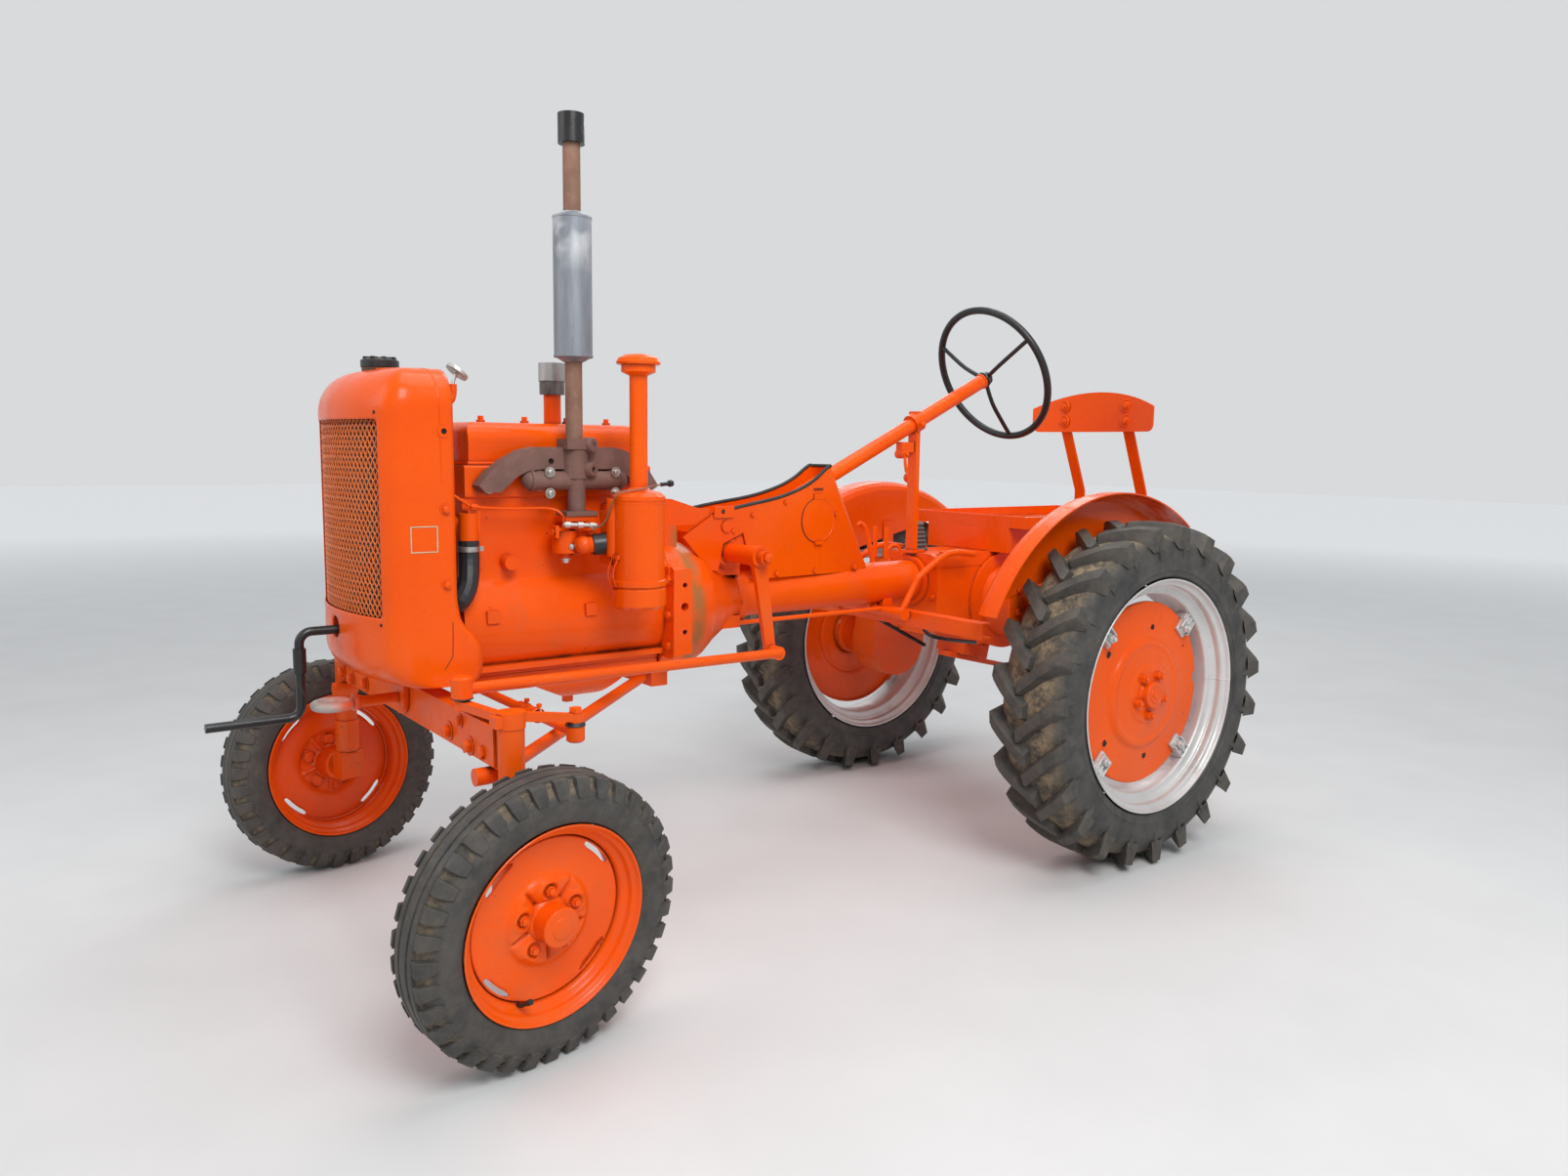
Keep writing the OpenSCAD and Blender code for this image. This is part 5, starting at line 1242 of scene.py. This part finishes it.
def makeSeatBackBolts():
    # four dished washers with bolts through the pressed back, and the same from behind
    look = seatWasher
    painted = MeshBag()
    for side in (-1, 1):
        for z in look["heights"]:
            for x, way in look["faces"]:
                spot = facing((x, side * look["spread"], z), (way, side * 0.144 * way, 0))
                painted.add(lathe(look["profile"], 32), spot)
                painted.add(plug(0.0078, 0.004, 0.0115, 6), spot)
    painted.make("seat_back_washers", "chassis", sheetPaint, 40)


makeCastingBolts()
makeSeatBackBolts()
print("bolts made")


# Front of the machine: badge frame, rivets, shell seam, radiator cap and gauge

badgeFrame = {"corners": ((1.090, 0.964), (1.035, 0.911)), "bar": 0.0022, "cream": (0.72, 0.62, 0.42)}


def makeBadgeFrame():
    # a blank framed plate on the left side of the shell
    material, tree, shader = newMaterial("badge_cream", 0.45)
    colour = mixed(tree, cloud(tree, 60), badgeFrame["cream"], (0.5, 0.38, 0.2))
    tree.links.new(colour, shader.inputs["Base Color"])
    (x1, z1), (x0, z0) = badgeFrame["corners"]
    bar = badgeFrame["bar"]
    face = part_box("grille_shell")[1].y
    bag = MeshBag()
    for low, high in (((x0, z0), (x1, z0 + bar)), ((x0, z1 - bar), (x1, z1)),
                      ((x0, z0 + bar), (x0 + bar, z1 - bar)), ((x1 - bar, z0 + bar), (x1, z1 - bar))):
        bag.add(brick((low[0], face - 0.001, low[1]), (high[0], face + 0.0015, high[1])))
    bag.make("badge_frame", "chassis", material, 0)


def makeShellTrim():
    dark = MeshBag()
    painted = MeshBag()
    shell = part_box("grille_shell")
    # open bolt hole at the top of the left side, with its washer and a dark disc of painted shade in it
    spot = facing((1.018, shell[1].y, 1.152), (0, 1, 0))
    painted.add(lathe([(0.006, 0.0), (0.006, 0.0022), (0.0125, 0.0022), (0.0135, 0)], 24), spot)
    dark.add(plug(0.006, -0.001, 0.0008, 20), spot)
    # four dark rivets just outside the corners of the window
    for y, z in ((0.197, 1.187), (0.199, 0.766)):
        for side in (-1, 1):
            bowed = shell[1].x - shellForm["bow"] + math.sqrt(shellForm["bow"] ** 2 - y * y)
            dark.add(lathe([(0, 0.0022), (0.0022, 0.0018), (0.0036, 0.0006), (0.004, -0.002)], 16),
                     facing((bowed, side * y, z), (1, side * 0.33, 0)))
    # bead over the sides and the top, and the split near the foot of each side, drawn as a dark line of
    # painted shade
    arch = []
    wide, round, crest = shellForm["half"], shellForm["sideTop"], shell[1].z - shellForm["crown"]
    for i in range(9):
        turn = math.pi / 2 * i / 8
        arch.append(Vector((1.026 + 0.004 * i / 8, wide - round + round * math.cos(turn),
                            crest - round + round * math.sin(turn))))
    arch = [Vector((1.024, wide, 1.05)), Vector((1.025, wide, 1.13))] + arch
    arch += [Vector((1.030, 0.08, crest + 0.0035)), Vector((1.030, 0, crest + 0.0055))]
    arch += [Vector((p.x, -p.y, p.z)) for p in reversed(arch[:-1])]
    painted.add(tube(arch, 0.0011, 6))
    for side in (-1, 1):
        foot = ((1.008, 0.767), (1.0085, 0.735), (1.0097, 0.6966), (1.0267, 0.6701))
        dark.add(tube([(x, side * (wide - 0.0002), z) for x, z in foot], 0.0009, 6))
    dark.make("shell_hole", "chassis", holeBlack, 0)
    painted.make("shell_trim", "chassis", sheetPaint, 40)


def makeRadiatorCap():
    # black ribbed cap on a rusty neck
    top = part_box("radiator_cap")
    middle = (top[0] + top[1]) / 2
    rusty = MeshBag()
    black = MeshBag()
    place = Matrix.Translation((middle.x, middle.y, 0))
    rusty.add(lathe([(0.030, top[0].z - 0.028), (0.031, top[0].z - 0.012), (0.036, top[0].z - 0.010),
                     (0.0375, top[0].z - 0.001), (0.030, top[0].z)], 40), place)
    for i in range(24):
        turn = 2 * math.pi * i / 24
        rib = brick((0.0375, -0.0022, top[0].z + 0.001), (0.0388, 0.0022, top[1].z - 0.006))
        black.add(rib, place @ Matrix.Rotation(turn, 4, "Z"))
    for i in range(8):
        black.add(brick((0.009, -0.0028, top[1].z - 0.002), (0.0345, 0.0028, top[1].z + 0.0026)),
                  place @ Matrix.Rotation(math.pi * i / 4, 4, "Z"))
    rusty.make("radiator_neck_rust", "chassis", capRust, 40)
    black.make("radiator_cap_ribs", "chassis", blackEnamel, 30)


gauge = {
    "dial": (0.8965, 0, 1.2845),
    "aim": (-0.62, 0, 0.78),     # it leans back to the driver
    "case": [(0, -0.0045), (0.020, -0.0045), (0.0262, -0.0028), (0.0268, 0.0030), (0.0258, 0.0046),
             (0.0232, 0.0046), (0.0226, 0.0030)],
    "stem": ((0.8990, 0, 1.2800), (0.9050, 0, 1.2660), (0.9070, 0, 1.2540)),
    "elbow": ((0.9072, 0, 1.2480), (0.9085, 0, 1.2330), (0.9150, 0, 1.2220), (0.9400, 0, 1.2160)),
}


def makeGauge():
    # thin dial on a stem, over a painted elbow on the top tank
    look = gauge
    spot = facing(look["dial"], look["aim"])
    silver = MeshBag()
    dial = MeshBag()
    painted = MeshBag()
    silver.add(lathe(look["case"], 40), spot)
    dial.add(plug(0.0228, 0.0010, 0.0032, 40), spot)
    silver.add(tube(look["stem"], 0.0042, 12))
    painted.add(plug(0.0105, 1.2440, 1.2580, 6), Matrix.Translation((0.9072, 0, 0)))
    painted.add(tube(smoothPath(look["elbow"]), 0.0095, 14))
    painted.add(plug(0.0135, -0.004, 0.006, 6), facing((0.9300, 0, 1.2170), (1, 0, 0)))
    silver.make("gauge_case", "chassis", brightSteel, 40, 0, ["temperature_gauge"])
    dial.make("gauge_dial", "chassis", holeBlack, 0)
    painted.make("gauge_elbow", "chassis", castPaint, 40)


makeBadgeFrame()
makeShellTrim()
makeRadiatorCap()
makeGauge()
print("front trim made")


# Engine: exhaust bosses, fuel pipe, wires, clamps and the fan belt

exhaustBosses = {
    "places": ((0.674, 0.150, 1.129), (0.674, 0.150, 1.075)),
    "aim": (-0.42, 0.9, 0),
    "profile": [(0.017, 0.018), (0.016, 0.036), (0.0145, 0.0385), (0.0065, 0.0385), (0.006, 0.034)],
    "intakeBeads": ((0.578, 0.150, 1.050), (0.793, 0.150, 1.050)),
}


def makeExhaustBosses():
    look = exhaustBosses
    bag = MeshBag()
    dark = MeshBag()
    for place in look["places"]:
        spot = facing(place, look["aim"])
        bag.add(lathe(look["profile"], 28), spot)
        # a dark disc down in each bore: painted shade
        dark.add(plug(0.0062, 0.030, 0.0345, 20), spot)
    for place in look["intakeBeads"]:
        bag.add(lathe(beadRing(0.0215, 0.002, 0.004), 32), facing(place, (1, 0, 0)))
    bag.make("exhaust_bosses", "chassis", manifoldRust, 40)
    dark.make("exhaust_boss_holes", "chassis", holeBlack, 0)


engineLines = {
    "fuelPipe": ((0.972, 0.150, 1.024), (0.948, 0.152, 1.008), (0.924, 0.152, 0.996), (0.850, 0.154, 0.990),
                 (0.756, 0.156, 0.989), (0.728, 0.168, 0.975), (0.722, 0.172, 0.955)),
    "fuelPipeRadius": 0.0032,
    "throttleWire": ((0.680, 0.212, 0.944), (0.673, 0.215, 0.946), (0.6569, 0.235, 0.962),
                     (0.6543, 0.262, 1.004), (0.6464, 0.283, 1.027), (0.6043, 0.294, 1.034),
                     (0.5578, 0.286, 1.042), (0.5142, 0.272, 1.0455)),
    "throttleWireRadius": 0.0018,
}


def makeLines():
    look = engineLines
    pipe = MeshBag()
    pipe.add(tube(smoothPath(look["fuelPipe"]), look["fuelPipeRadius"]))
    for place, aim in (((0.924, 0.152, 0.996), (-1, 0, -0.1)), ((0.7235, 0.1705, 0.962), (-0.1, 0, -1))):
        pipe.add(plug(0.0062, -0.007, 0.007, 6), facing(place, aim))
    pipe.make("fuel_pipe", "chassis", castPaint, 40)
    wire = MeshBag()
    wire.add(tube(smoothPath(look["throttleWire"]), look["throttleWireRadius"], 8))
    wire.make("throttle_wire", "chassis", pipeRust, 40)
    # end of the throttle rod, with its knob
    knob = MeshBag()
    knob.add(tube(((0.5420, 0.281, 1.0435), (0.5142, 0.272, 1.0455)), 0.0046))
    knob.add(lathe([(0, -0.002), (0.006, -0.001), (0.008, 0.004), (0.0075, 0.010), (0.004, 0.014),
                    (0, 0.0145)], 20), facing((0.5180, 0.2735, 1.0452), (-1, -0.3, 0.07)))
    knob.make("throttle_rod", "chassis", blackEnamel, 40)


def makeCarburettorParts():
    silver = MeshBag()
    painted = MeshBag()
    # linkage rod with its nuts over the left face, a clip that holds it, a screw and the bowl's nut below
    silver.add(tube(((0.742, 0.2020, 0.9560), (0.664, 0.2080, 0.9520)), 0.0042, 14))
    for x, z in ((0.733, 0.9556), (0.703, 0.9541), (0.676, 0.9526)):
        place = (x, 0.2027 + (0.742 - x) * 0.077, z)
        silver.add(plug(0.0068, -0.006, 0.006, 6), facing(place, (-1, 0.077, -0.05)))
    silver.add(brick((0.7225, 0.180, 0.9535), (0.7265, 0.203, 0.9600)))
    boltInto(silver, (0.7160, 0.1885, 0.905), (0, 1, 0), 0.0045)
    boltInto(silver, (0.716, 0.158, 0.8765), (0, 0, -1), 0.009)
    # choke lever that slants down over the throat, its pivot, a stop, the lid's screws and a bead on the bowl
    painted.add(tube(((0.668, 0.196, 0.932), (0.652, 0.204, 0.914), (0.640, 0.208, 0.892)), 0.0040, 10, 0.6))
    painted.add(plug(0.0085, -0.003, 0.006, 16), facing((0.668, 0.196, 0.932), (0, 1, 0)))
    painted.add(brick((0.744, 0.150, 0.925), (0.752, 0.186, 0.952)))
    painted.add(plug(0.0075, 0, 0.016, 6), facing((0.744, 0.172, 0.938), (1, 0.3, 0)))
    for x, y in ((0.662, 0.140), (0.714, 0.140), (0.662, 0.178), (0.714, 0.178)):
        boltInto(painted, (x, y, 0.972), (0, 0, 1), 0.006, False)
    painted.add(lathe(beadRing(0.0205, 0.002, 0.004), 28), facing((0.688, 0.158, 0.905), (0, 0, 1)))
    silver.make("carburettor_linkage", "chassis", brightSteel, 40)
    painted.make("carburettor_screws", "chassis", castPaint, 40)


hoseClamps = {
    # place, direction of the hose, radius of the hose
    "places": (((0.934, 0.144, 0.906), (0, 0, 1), 0.0225), ((0.9965, 0.120, 0.784), (1, 0, 0), 0.0225),
               ((0.9630, 0, 1.200), (1, 0, 0), 0.0225), ((0.9760, 0, 1.200), (1, 0, 0), 0.0225)),
    "thick": 0.0012,
    "wide": 0.012,
}


def makeHoseClamps():
    bag = MeshBag()
    look = hoseClamps
    for place, aim, radius in look["places"]:
        spot = facing(place, aim)
        bag.add(lathe(beadRing(radius, look["thick"], look["wide"] / 2, 0, 0.0005), 40), spot)
        bag.add(brick((radius, -0.007, -0.005), (radius + 0.008, 0.007, 0.005)), spot)
    bag.make("hose_clamps", "chassis", bareSteel, 40)


sleeve = {"path": ((0.6260, 0.2230, 0.9135), (0.6450, 0.2125, 0.9115), (0.6720, 0.2040, 0.9085)),
          "radius": 0.0238}


def makeSleeve():
    # thick black sleeve between the carburettor and the air duct
    bag = MeshBag()
    bag.add(tube(sleeve["path"], sleeve["radius"], 28))
    bag.make("carburettor_sleeve", "chassis", hoseRubber, 40, 0.001)


fanBelt = {"top": (0.9705, 0, 0.939), "topRadius": 0.0405, "low": (0.961, 0, 0.734), "lowRadius": 0.0545}


def makeFanBelt():
    # runs round the fan pulley and the crankshaft pulley; it stays with the chassis while they turn
    look = fanBelt
    top, low = Vector(look["top"]), Vector(look["low"])
    lean = math.asin((look["lowRadius"] - look["topRadius"]) / (top - low).length)
    path = []
    for i in range(25):
        turn = -lean + (math.pi + 2 * lean) * i / 24
        path.append(top + Vector((0, look["topRadius"] * math.cos(turn), look["topRadius"] * math.sin(turn))))
    for i in range(25):
        turn = math.pi + lean + (math.pi - 2 * lean) * i / 24
        path.append(low + Vector((0, look["lowRadius"] * math.cos(turn), look["lowRadius"] * math.sin(turn))))
    path.append(path[0])
    bag = MeshBag()
    bag.add(tube(path, 0.0055, 8))
    bag.make("fan_belt", "chassis", hoseRubber, 40)


airCleaner = {"middle": (0.588, 0.262, 0), "radius": 0.0585, "clampHeight": 0.822, "duct": (0.6310, 0.2380)}


def makeAirCleanerParts():
    # clamp band round the cup with a wire bail on each side, and the flat duct to the carburettor's sleeve
    bag = MeshBag()
    place = Matrix.Translation(airCleaner["middle"])
    radius, height = airCleaner["radius"], airCleaner["clampHeight"]
    bag.add(lathe(beadRing(radius - 0.001, 0.0035, 0.0035, height), 56), place)
    seam = [(radius - 0.0022, 1.0005), (radius - 0.0006, 1.0015), (radius - 0.0022, 1.0025)]
    bag.add(lathe(seam, 56), place)
    bail = ((0.0025, 0.886), (0.0035, 0.876), (0.0085, 0.866), (0.0125, 0.850), (0.0105, 0.832),
            (0.0045, 0.822))
    for way in (-1, 1):
        for y in (0.012, -0.012):
            wire = smoothPath([(way * (radius + x), y, z) for x, z in bail], 4)
            bag.add(tube(wire, 0.0015, 8), place)
        bag.add(tube([(way * (radius + 0.0045), y, height) for y in (0.013, -0.013)], 0.0020, 8), place)
        bag.add(brick((way * radius - 0.003, -0.015, 0.880), (way * radius + 0.003, 0.015, 0.890)), place)
    bag.add(plug(0.0225, 0.8850, 1.0120, 32), Matrix.Translation((*airCleaner["duct"], 0)))
    bag.add(brick((0.600, 0.2160, 0.8850), (0.6310, 0.2600, 1.0120)))
    bag.make("air_cleaner_duct", "chassis", sheetPaint, 35, 0.0012)


muffler = {"middle": (0.688, 0.150, 0), "radius": 0.0415, "seams": (1.3225, 1.6185)}


def makeMufflerSeams():
    bag = MeshBag()
    place = Matrix.Translation(muffler["middle"])
    for z in muffler["seams"]:
        bag.add(lathe(beadRing(muffler["radius"], 0.0017, 0.003, z), 48), place)
    bag.make("muffler_seams", "chassis", mufflerGrey, 40)


def makeGaskets():
    # dark lines under the valve cover and along the oil pan's rail
    bag = MeshBag()
    low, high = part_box("valve_cover")
    bag.add(brick((low.x - 0.0006, -0.1046, low.z - 0.0010), (high.x + 0.0006, 0.1046, low.z + 0.0012)))
    low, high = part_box("oil_pan")
    bag.add(brick((low.x, -0.1192, high.z - 0.0045), (high.x - 0.001, 0.1192, high.z - 0.0002)))
    bag.make("gaskets", "chassis", holeBlack, 0)


makeGaskets()
makeExhaustBosses()
makeLines()
makeCarburettorParts()
makeHoseClamps()
makeSleeve()
makeFanBelt()
makeAirCleanerParts()
makeMufflerSeams()
print("engine trim made")


# Driver's place: the dash's rubber edge, grooves and bolts, gear boot, column parts and rods

dashPlate = {
    "lean": math.radians(4.8),  # how far each side turns in towards the rear
    "front": 0.358,
    "half": 0.088,              # half of its width at the front
    "edgeRadius": 0.0048,       # rubber on its top edges, with the line of the edge as (x, z)
    "edge": ((0.270, 0.958), (0.208, 0.971), (0.150, 0.9805), (0.092, 0.989), (0.040, 0.999),
             (-0.010, 1.013), (-0.050, 1.028), (-0.086, 1.047), (-0.112, 1.066)),
    "cover": (-0.450, 0.933),   # middle of the blank round cover, along the plate and up
    "grooveRadius": 0.0605,
    # bolts: along the plate, height, size
    "bolts": ((-0.592, 0.797, 0.0085), (-0.440, 0.796, 0.0055), (-0.300, 0.797, 0.0065),
              (-0.215, 0.955, 0.0050), (-0.515, 0.948, 0.0050), (-0.330, 0.985, 0.0050)),
}


def makeDashEdge():
    # black rubber channel along both top edges and round the rear top of the dash
    look = dashPlate
    taper = math.tan(look["lean"])
    left = [Vector((x, 0.086 - (look["front"] - x) * taper, z + 0.002)) for x, z in look["edge"]]
    back = []
    for i in range(1, 12):
        turn = math.pi * i / 12
        back.append(Vector((-0.124 - 0.029 * math.sin(turn), 0.0465 * math.cos(turn), 1.0805)))
    right = [Vector((p.x, -p.y, p.z)) for p in reversed(left)]
    bag = MeshBag()
    bag.add(tube(smoothPath(left + back + right, 4), look["edgeRadius"]))
    bag.make("dash_edging", "chassis", edgeRubber, 40)


def dashSpot(along, height, out=0.0):
    # a place on the left plate of the dash; along is negative to the rear
    lean = dashPlate["lean"]
    return Vector((dashPlate["front"] + along * math.cos(lean) - out * math.sin(lean),
                   dashPlate["half"] + along * math.sin(lean) + out * math.cos(lean), height))


def makeDashDetails():
    look = dashPlate
    outward = (-math.sin(look["lean"]), math.cos(look["lean"]), 0)
    dark = MeshBag()
    painted = MeshBag()
    # groove round the blank cover, its folded lip, two louvre slots above it, and bolts; the groove and the
    # slots are dark lines of painted shade
    along, height = look["cover"]
    ring = []
    for i in range(49):
        x, z, out = around(look["grooveRadius"], 2 * math.pi * i / 48, 0.0008)
        ring.append(dashSpot(along + x, height + z, out))
    dark.add(tube(ring, 0.0011, 6))
    for z in (1.0155, 1.0195):
        dark.add(tube((dashSpot(along - 0.018, z, 0.0008), dashSpot(along + 0.018, z, 0.0008)), 0.0009, 6))
    painted.add(lathe([(0.0570, 0.0028), (0.0585, 0.0040), (0.0600, 0.0032), (0.0602, 0)], 64),
                facing(dashSpot(along, height), outward))
    for along, z, size in look["bolts"]:
        boltInto(painted, dashSpot(along, z), outward, size, turn=along * 40)
    dark.make("dash_grooves", "chassis", holeBlack, 0)
    painted.make("dash_bolts", "chassis", castPaint, 40)


bellows = {"middle": (-0.554, -0.050, 0), "low": 0.824, "top": (0.009, 0.914), "folds": 7, "step": 0.0125,
           "radius": 0.034, "taper": 0.0022}


def makeGearBoot():
    # grey rubber bellows round the gear lever
    look = bellows
    profile = []
    for i in range(look["folds"]):
        z = look["low"] + i * look["step"]
        wide = look["radius"] - i * look["taper"]
        profile += [(wide, z), (wide + 0.004, z + 0.004), (wide, z + 0.0085), (wide - 0.004, z + 0.0105)]
    bag = MeshBag()
    bag.add(lathe(profile + [look["top"]], 36), Matrix.Translation(look["middle"]))
    bag.make("gear_boot", "chassis", gearBoot, 40)


def makeColumnParts():
    painted = MeshBag()
    # small casting under the column ahead of its post, with a lever stub and a screw
    painted.add(brick((-0.478, -0.013, 1.120), (-0.430, 0.013, 1.150)))
    painted.add(plug(0.013, -0.016, 0.020, 24), facing((-0.440, 0.0, 1.115), (0, 1, 0)))
    stub = ((-0.440, 0.018, 1.115), (-0.436, 0.022, 1.090), (-0.444, 0.020, 1.062))
    painted.add(tube(smoothPath(stub), 0.005, 8))
    boltInto(painted, (-0.440, 0.020, 1.115), (0, 1, 0), 0.007)
    # guard and two prongs on top of the transmission's front
    for y in (-0.008, 0.040):
        painted.add(brick((-0.360, y - 0.002, 0.815), (-0.345, y + 0.002, 0.905)))
    ring = [(-0.405 + 0.030 * math.cos(math.radians(a)), 0.016, 0.820 + 0.030 * math.sin(math.radians(a)))
            for a in range(0, 181, 12)]
    painted.add(tube(ring, 0.005, 8))
    painted.make("column_casting", "chassis", castPaint, 40, 0.0012)
    # collar between the column and the steering wheel
    collar = MeshBag()
    tip = Vector(joints["steering_wheel_turn"]["pos_m"])
    aim = Vector(joints["steering_wheel_turn"]["axis"])
    if aim.z < 0:
        aim = -aim
    spot = facing(tip, aim)
    collar.add(lathe(beadRing(0.0215, 0.002, 0.003, -0.003), 36), spot)
    collar.make("column_collar", "chassis", castPaint, 40)
    nut = MeshBag()
    nut.add(plug(0.014, 0.024, 0.034, 6), spot)
    nut.add(plug(0.007, 0.034, 0.038, 20), spot)
    nut.add(lathe([(0.0245, 0.003), (0.026, 0.006), (0.0245, 0.010)], 36), spot)
    nut.make("steering_wheel_nut", "steering_wheel", wheelBlack, 40)


def makeBlackRods():
    # two dark rods that run back and down under the transmission
    bag = MeshBag()
    bent = ((-0.42, 0.115, 0.648), (-0.40, 0.170, 0.610), (-0.46, 0.185, 0.590), (-0.62, 0.150, 0.560))
    bag.add(tube(smoothPath(bent), 0.006))
    bag.add(tube(((-0.36, -0.06, 0.650), (-0.60, -0.045, 0.525)), 0.006))
    bag.make("brake_rods", "chassis", blackEnamel, 40)


makeDashEdge()
makeDashDetails()
makeGearBoot()
makeColumnParts()
makeBlackRods()
print("driver's place made")


# Steering joints: black boots, clamps, the drag link's cap and the pitman nut

def makeSteeringTrim():
    rubber = MeshBag()
    painted = MeshBag()
    tie = Vector(joints["tie_rod_pivot"]["pos_m"])
    for y in (tie.y, tie.y - 2 * joints["steer_left"]["pos_m"][1]):
        place = Matrix.Translation((tie.x, y, tie.z))
        rubber.add(lathe([(0.0185, 0.0142), (0.0200, 0.0150), (0.0185, 0.0195), (0.0150, 0.0222)], 28), place)
        painted.add(lathe([(0.0182, -0.0142), (0.014, -0.0175), (0, -0.0180)], 28), place)
    painted.add(plug(0.0135, -0.012, 0.012, 6), facing((tie.x, 0.303, tie.z), (1, 0, 0.4)))
    for y in (0.275, 0.335):
        painted.add(lathe(beadRing(0.0142, 0.0016, 0.006), 28), facing((tie.x, y, tie.z), (0, 1, 0)))
        boltInto(painted, (tie.x - 0.004, y, tie.z + 0.0165), (0, 0, 1), 0.006, False)
    rubber.make("tie_rod_boots", "tie_rod", hoseRubber, 40)
    painted.make("tie_rod_clamps", "tie_rod", castPaint, 40)
    drag = Vector(joints["drag_link_pivot"]["pos_m"])
    rubber = MeshBag()
    rubber.add(lathe([(0.0212, -0.0165), (0.0222, -0.018), (0.0185, -0.0200), (0.0150, -0.0208)], 28),
               Matrix.Translation(drag))
    rubber.make("drag_link_boot", "drag_link", hoseRubber, 40)
    top = MeshBag()
    top.add(lathe([(0.0205, 0.022), (0.0165, 0.0262), (0, 0.0272)], 28), Matrix.Translation(drag))
    top.make("drag_link_cap", "drag_link", castPaint, 40)
    swing = Vector(joints["pitman_swing"]["pos_m"])
    nut = MeshBag()
    boltInto(nut, (swing.x, 0.2352, swing.z), (0, 1, 0), 0.0125, turn=0.2)
    nut.make("pitman_nut", "pitman", castPaint, 40)


makeSteeringTrim()
print("steering trim made")


# Floor, light and camera

room = {
    "floor": ((0.70, 0.70, 0.69), (0.74, 0.74, 0.73)),
    "floorGlow": (0.98, 0.99, 1.0, 1),
    "wall": (0.69, 0.70, 0.71, 1),
    "soft": (0.86, 0.92, 1.0, 1),
    "softStrength": 0.36,
}
lamps = {
    "key": {"place": (1.4, 4.2, 4.6), "size": 2.6, "power": 215},
    "fill": {"place": (4.6, -1.2, 3.2), "size": 3.0, "power": 45},
    "back": {"place": (-3.8, -3.2, 4.2), "size": 3.0, "power": 60},
    "top": {"place": (-0.4, 0.2, 5.2), "size": 3.4, "power": 80},
}


def makeStage():
    bpy.ops.mesh.primitive_plane_add(size=60, location=(0, 0, 0))
    floor = bpy.context.object
    floor.name = "floor"
    material, tree, shader = newMaterial("pale_floor", 0.75)
    colour = mixed(tree, clouded(tree, 3, 4, 0.3, 0.7), *room["floor"])
    tree.links.new(colour, shader.inputs["Base Color"])
    # the floor brightens far out, so that it meets the pale wall softly
    far = tree.nodes.new("ShaderNodeVectorMath")
    far.operation = "LENGTH"
    tree.links.new(position(tree), far.inputs[0])
    shader.inputs["Emission Color"].default_value = room["floorGlow"]
    glow = between(tree, far.outputs["Value"], 3.2, 13.0, 0, 0.44)
    tree.links.new(glow, shader.inputs["Emission Strength"])
    floor.data.materials.append(material)

    world = bpy.data.worlds.new("soft_room")
    bpy.context.scene.world = world
    world.use_nodes = True
    tree = world.node_tree
    soft = tree.nodes["Background"]
    soft.inputs["Color"].default_value = room["soft"]
    soft.inputs["Strength"].default_value = room["softStrength"]
    # what the camera, glossy and clear things see of the room is a pale wall
    wall = tree.nodes.new("ShaderNodeBackground")
    wall.inputs["Color"].default_value = room["wall"]
    rays = tree.nodes.new("ShaderNodeLightPath")
    seen = plus(tree, rays.outputs["Is Camera Ray"], rays.outputs["Is Glossy Ray"])
    seen = plus(tree, seen, rays.outputs["Is Transmission Ray"])
    choose = tree.nodes.new("ShaderNodeMixShader")
    tree.links.new(seen, choose.inputs["Fac"])
    tree.links.new(soft.outputs[0], choose.inputs[1])
    tree.links.new(wall.outputs[0], choose.inputs[2])
    tree.links.new(choose.outputs[0], tree.nodes["World Output"].inputs["Surface"])

    for name, lamp in lamps.items():
        light = bpy.data.lights.new(name, "AREA")
        light.size = lamp["size"]
        light.energy = lamp["power"]
        holder = bpy.data.objects.new(name, light)
        holder.location = lamp["place"]
        aim = Vector((0, 0, 0.8)) - Vector(lamp["place"])
        holder.rotation_euler = aim.to_track_quat("-Z", "Y").to_euler()
        bpy.context.scene.collection.objects.link(holder)


photoCamera = {
    "place": (1.8344, 2.4577, 1.1265),
    "yaw": -2.216,
    "pitch": -0.123,
    "roll": 0.013,
    "lens": 25.88,
}


def makeCamera():
    look = photoCamera
    level = math.cos(look["pitch"])
    forward = Vector((level * math.cos(look["yaw"]), level * math.sin(look["yaw"]), math.sin(look["pitch"])))
    beside = forward.cross(Vector((0, 0, 1))).normalized()
    upright = beside.cross(forward)
    right = beside * math.cos(look["roll"]) + upright * math.sin(look["roll"])
    up = -beside * math.sin(look["roll"]) + upright * math.cos(look["roll"])
    camera = bpy.data.cameras.new("photo_camera")
    camera.lens = look["lens"]
    camera.sensor_width = 36
    camera.clip_start = 0.05
    camera.clip_end = 200
    holder = bpy.data.objects.new("photo_camera", camera)
    bpy.context.scene.collection.objects.link(holder)
    turn = Matrix((right, up, -forward)).transposed().to_4x4()
    holder.matrix_world = Matrix.Translation(Vector(look["place"])) @ turn
    bpy.context.scene.camera = holder


makeStage()
makeCamera()
bpy.context.scene.view_settings.view_transform = "Standard"
print("stage, light and camera set")
